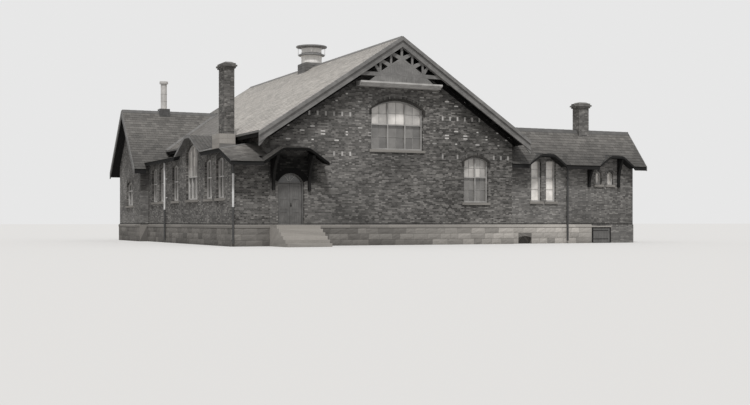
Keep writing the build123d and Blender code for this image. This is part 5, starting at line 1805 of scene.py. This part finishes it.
def glaze_all():
    for side, ways, tone in (
        ("front", (FRONT,), street_reflection), ("right_wing", (FRONT, RIGHT, BACK), street_reflection),
        ("left", (LEFT,), side_reflection), ("nave_back", (RIGHT, BACK), plain_reflection),
    ):
        panes, bars = Shape(), Shape()
        frames, glass = f"{side}_window_frames", f"{side}_glass"
        for normal in ways:
            for level in plane_levels(frames, normal, frame_area):
                glaze(panes, bars, frames, glass, normal, level, tone)
        if side == "front":
            glaze_fanlight(panes, bars, glass)
        made = panes.make(f"{side}_panes", PANE, "window_glass")
        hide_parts(glass)
        bars.make(f"{side}_glazing_bars", JOINERY, "window_joinery")


def glaze_fanlight(panes, bars, glass):
    """One pane over the door, with bars that spread from its foot."""
    sheet = Region(glass, FRONT, plane_levels(glass, FRONT, glass_area)[0])
    for loop in Region("door_frame", FRONT).inner():
        outline = ordered(loop)
        left, right, low, high = box_of(outline)
        if low <= fanlight_sill:
            continue
        pane = [sheet.place(u, v) + sheet.n * pane_proud for u, v in outline]
        panes.add(pane, [tuple(range(len(outline)))], fanlight_reflection)
        middle = (left + right) / 2
        for turn in fanlight_turns:
            sine, cosine = math.sin(math.radians(turn)), math.cos(math.radians(turn))
            side = (cosine * fanlight_half, -sine * fanlight_half)
            foot = [(middle - side[0], low - side[1]), (middle + side[0], low + side[1])]
            strip = foot + [(u + sine, v + cosine) for u, v in reversed(foot)]
            add_bar(bars, sheet, strip, outline, fanlight_deep)


# Doors
def dress_leaf(leaf, body):
    """Mouldings round each panel of a leaf, and the boards inside them."""
    region = Region(leaf, FRONT)
    mould, board = Shape(), Shape()
    for loop in region.inner():
        left, right, low, high = box_of(loop)
        a, b = left + moulding_width, right - moulding_width
        c, d = low + moulding_width, high - moulding_width
        for strip in ((left, right, low, c), (left, right, d, high), (left, a, c, d), (b, right, c, d)):
            mould.slab(region.field(*strip, moulding_gap), region.n, *moulding_depth)
        for start, end in split(a, b, leaf_boards):
            board.slab(region.field(start, end, c, d, leaf_board_gap), region.n, *leaf_board_depth)
    mould.make(f"{leaf}_mouldings", DOOR_WOOD, "door_boards", body)
    board.make(f"{leaf}_panel_boards", DOOR_WOOD, "door_boards", body)


def dress_doors():
    dress_leaf("door_left", "door_left_leaf")
    dress_leaf("door_right", "door_right_leaf")
    low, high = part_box("door_right")
    iron = Shape()
    x, z = low[0] + handle_place[0], low[2] + handle_place[1]
    wide, tall, proud = handle_plate
    iron.block((x - wide, low[1] - proud, z - tall), (x + wide, low[1] + plate_inset, z + tall))
    around, iron_sides, boss_sides = handle_sides
    ring = []
    for a in turns(around):
        across, up = handle_ring * math.sin(a), handle_ring * math.cos(a)
        ring.append(Vector((x + across, low[1] - handle_out, z - handle_drop + up)))
    iron.tube(ring, handle_iron, iron_sides)
    radius, reach = handle_boss
    iron.tube([Vector((x, y, z + radius)) for y in (low[1], low[1] - reach)], radius, boss_sides)
    iron.make("door_ring_handle", IRON, "ironwork", "door_right_leaf")


# Metalwork
def middle_in_plan(name):
    low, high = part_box(name)
    return (low[0] + high[0]) / 2, (low[1] + high[1]) / 2


def ring_band(shape, centre, radius, foot, band_size, sides):
    """A band of flat plates round an upright tube; its size is its height and how far it stands out."""
    angles = turns(sides)
    for a, b in zip(angles, angles[1:]):
        corners = []
        for angle, z in cell(a, b, foot, foot + band_size[0]):
            across, back = radius * math.cos(angle), radius * math.sin(angle)
            corners.append(Vector((centre[0] + across, centre[1] + back, z)))
        shape.slab(corners, way_at((a + b) / 2), -band_inset, band_size[1])


def dress_ventilator():
    """Bands and ribs on the drum, and stays out to its ring."""
    low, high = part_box("ventilator")
    centre = middle_in_plan("ventilator")
    middle = Vector((*centre, 0))
    base = low[2]
    shape = Shape()
    for level in vent_bands:
        ring_band(shape, centre, vent_radius, base + level, vent_band, vent_sides)
    for out in map(way_at, turns(rib_count)[:-1]):
        side = UP.cross(out)
        foot = middle + out * vent_radius
        ends = cell(-rib_half, rib_half, base + vent_ribs[0], base + vent_ribs[1])
        shape.slab([foot + side * a + UP * z for a, z in ends], out, -band_inset, rib_half)
    reaches = (vent_radius, vent_ring + stay_out, vent_ring + stay_out)
    levels = (base + vent_stays[0], base + vent_stays[1], high[2] - vent_stays[2])
    for out in map(way_at, turns(stay_count, 0.5)[:-1]):
        stay = [middle + out * reach + UP * z for reach, z in zip(reaches, levels)]
        shape.tube(stay, vent_stay, stay_sides)
    shape.make("ventilator_bands", VENT_METAL, "sheet_metal")


def board_ventilator_base():
    """Boards that lap over each other round the ventilator's base."""
    boards = Shape()
    faces = [(0, 1, 2, 3), (4, 5, 1, 0), (5, 6, 2, 1), (7, 4, 0, 3)]
    for normal in (FRONT, BACK, LEFT, RIGHT):
        region = Region("ventilator_base", normal)
        for row, low, high, stretches in region.rows(base_board):
            for start, end in stretches:
                ends = (start - base_board_past, end + base_board_past)
                back = region.field(*ends, low, high, base_board_gap)
                boards.add([c + region.n * lap for c, lap in zip(back, base_board_laps)] + back, faces)
    boards.make("ventilator_base_boards", BASE_BOARD, "painted_boards")


def dress_pipes():
    shape = Shape()
    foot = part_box("stove_pipe")[0][2]
    for level in stove_bands:
        ring_band(shape, middle_in_plan("stove_pipe"), pipe_radius, foot + level, stove_band, stove_sides)
    shape.make("stove_pipe_bands", ZINC, "sheet_metal")


def top_chimneys():
    """Mortar slopes and a near-black flue on each stack: smoke stains, and painted shade in the flue's
    opening.
    """
    for name in ("left_chimney", "right_chimney"):
        region = Region(name, UP, along=Vector(BACK))
        box = box_of([point for edge in region.edges for point in edge])
        slope, flue = Shape(), Shape()
        rings = [corner + UP * lift for inset, lift in flaunching for corner in region.field(*box, inset)]
        slope.add(rings, band(4) + band(4, 4) + band(4, 8))
        slope.make(f"{name}_flaunching", MORTAR, "brick")
        flue.slab(region.field(*box, flaunching[-1][0]), UP, 0.0, flue_thick)
        flue.make(f"{name}_flue", SHADOW_BLACK, "brick")


lay_floor()
light_sky()
hang_sun()
place_camera()
dress_nodes()
lay_walls()
lay_bases()
cover_roofs()
hang_rafters()
hang_woodwork()
glaze_all()
dress_doors()
dress_ventilator()
board_ventilator_base()
dress_pipes()
top_chimneys()
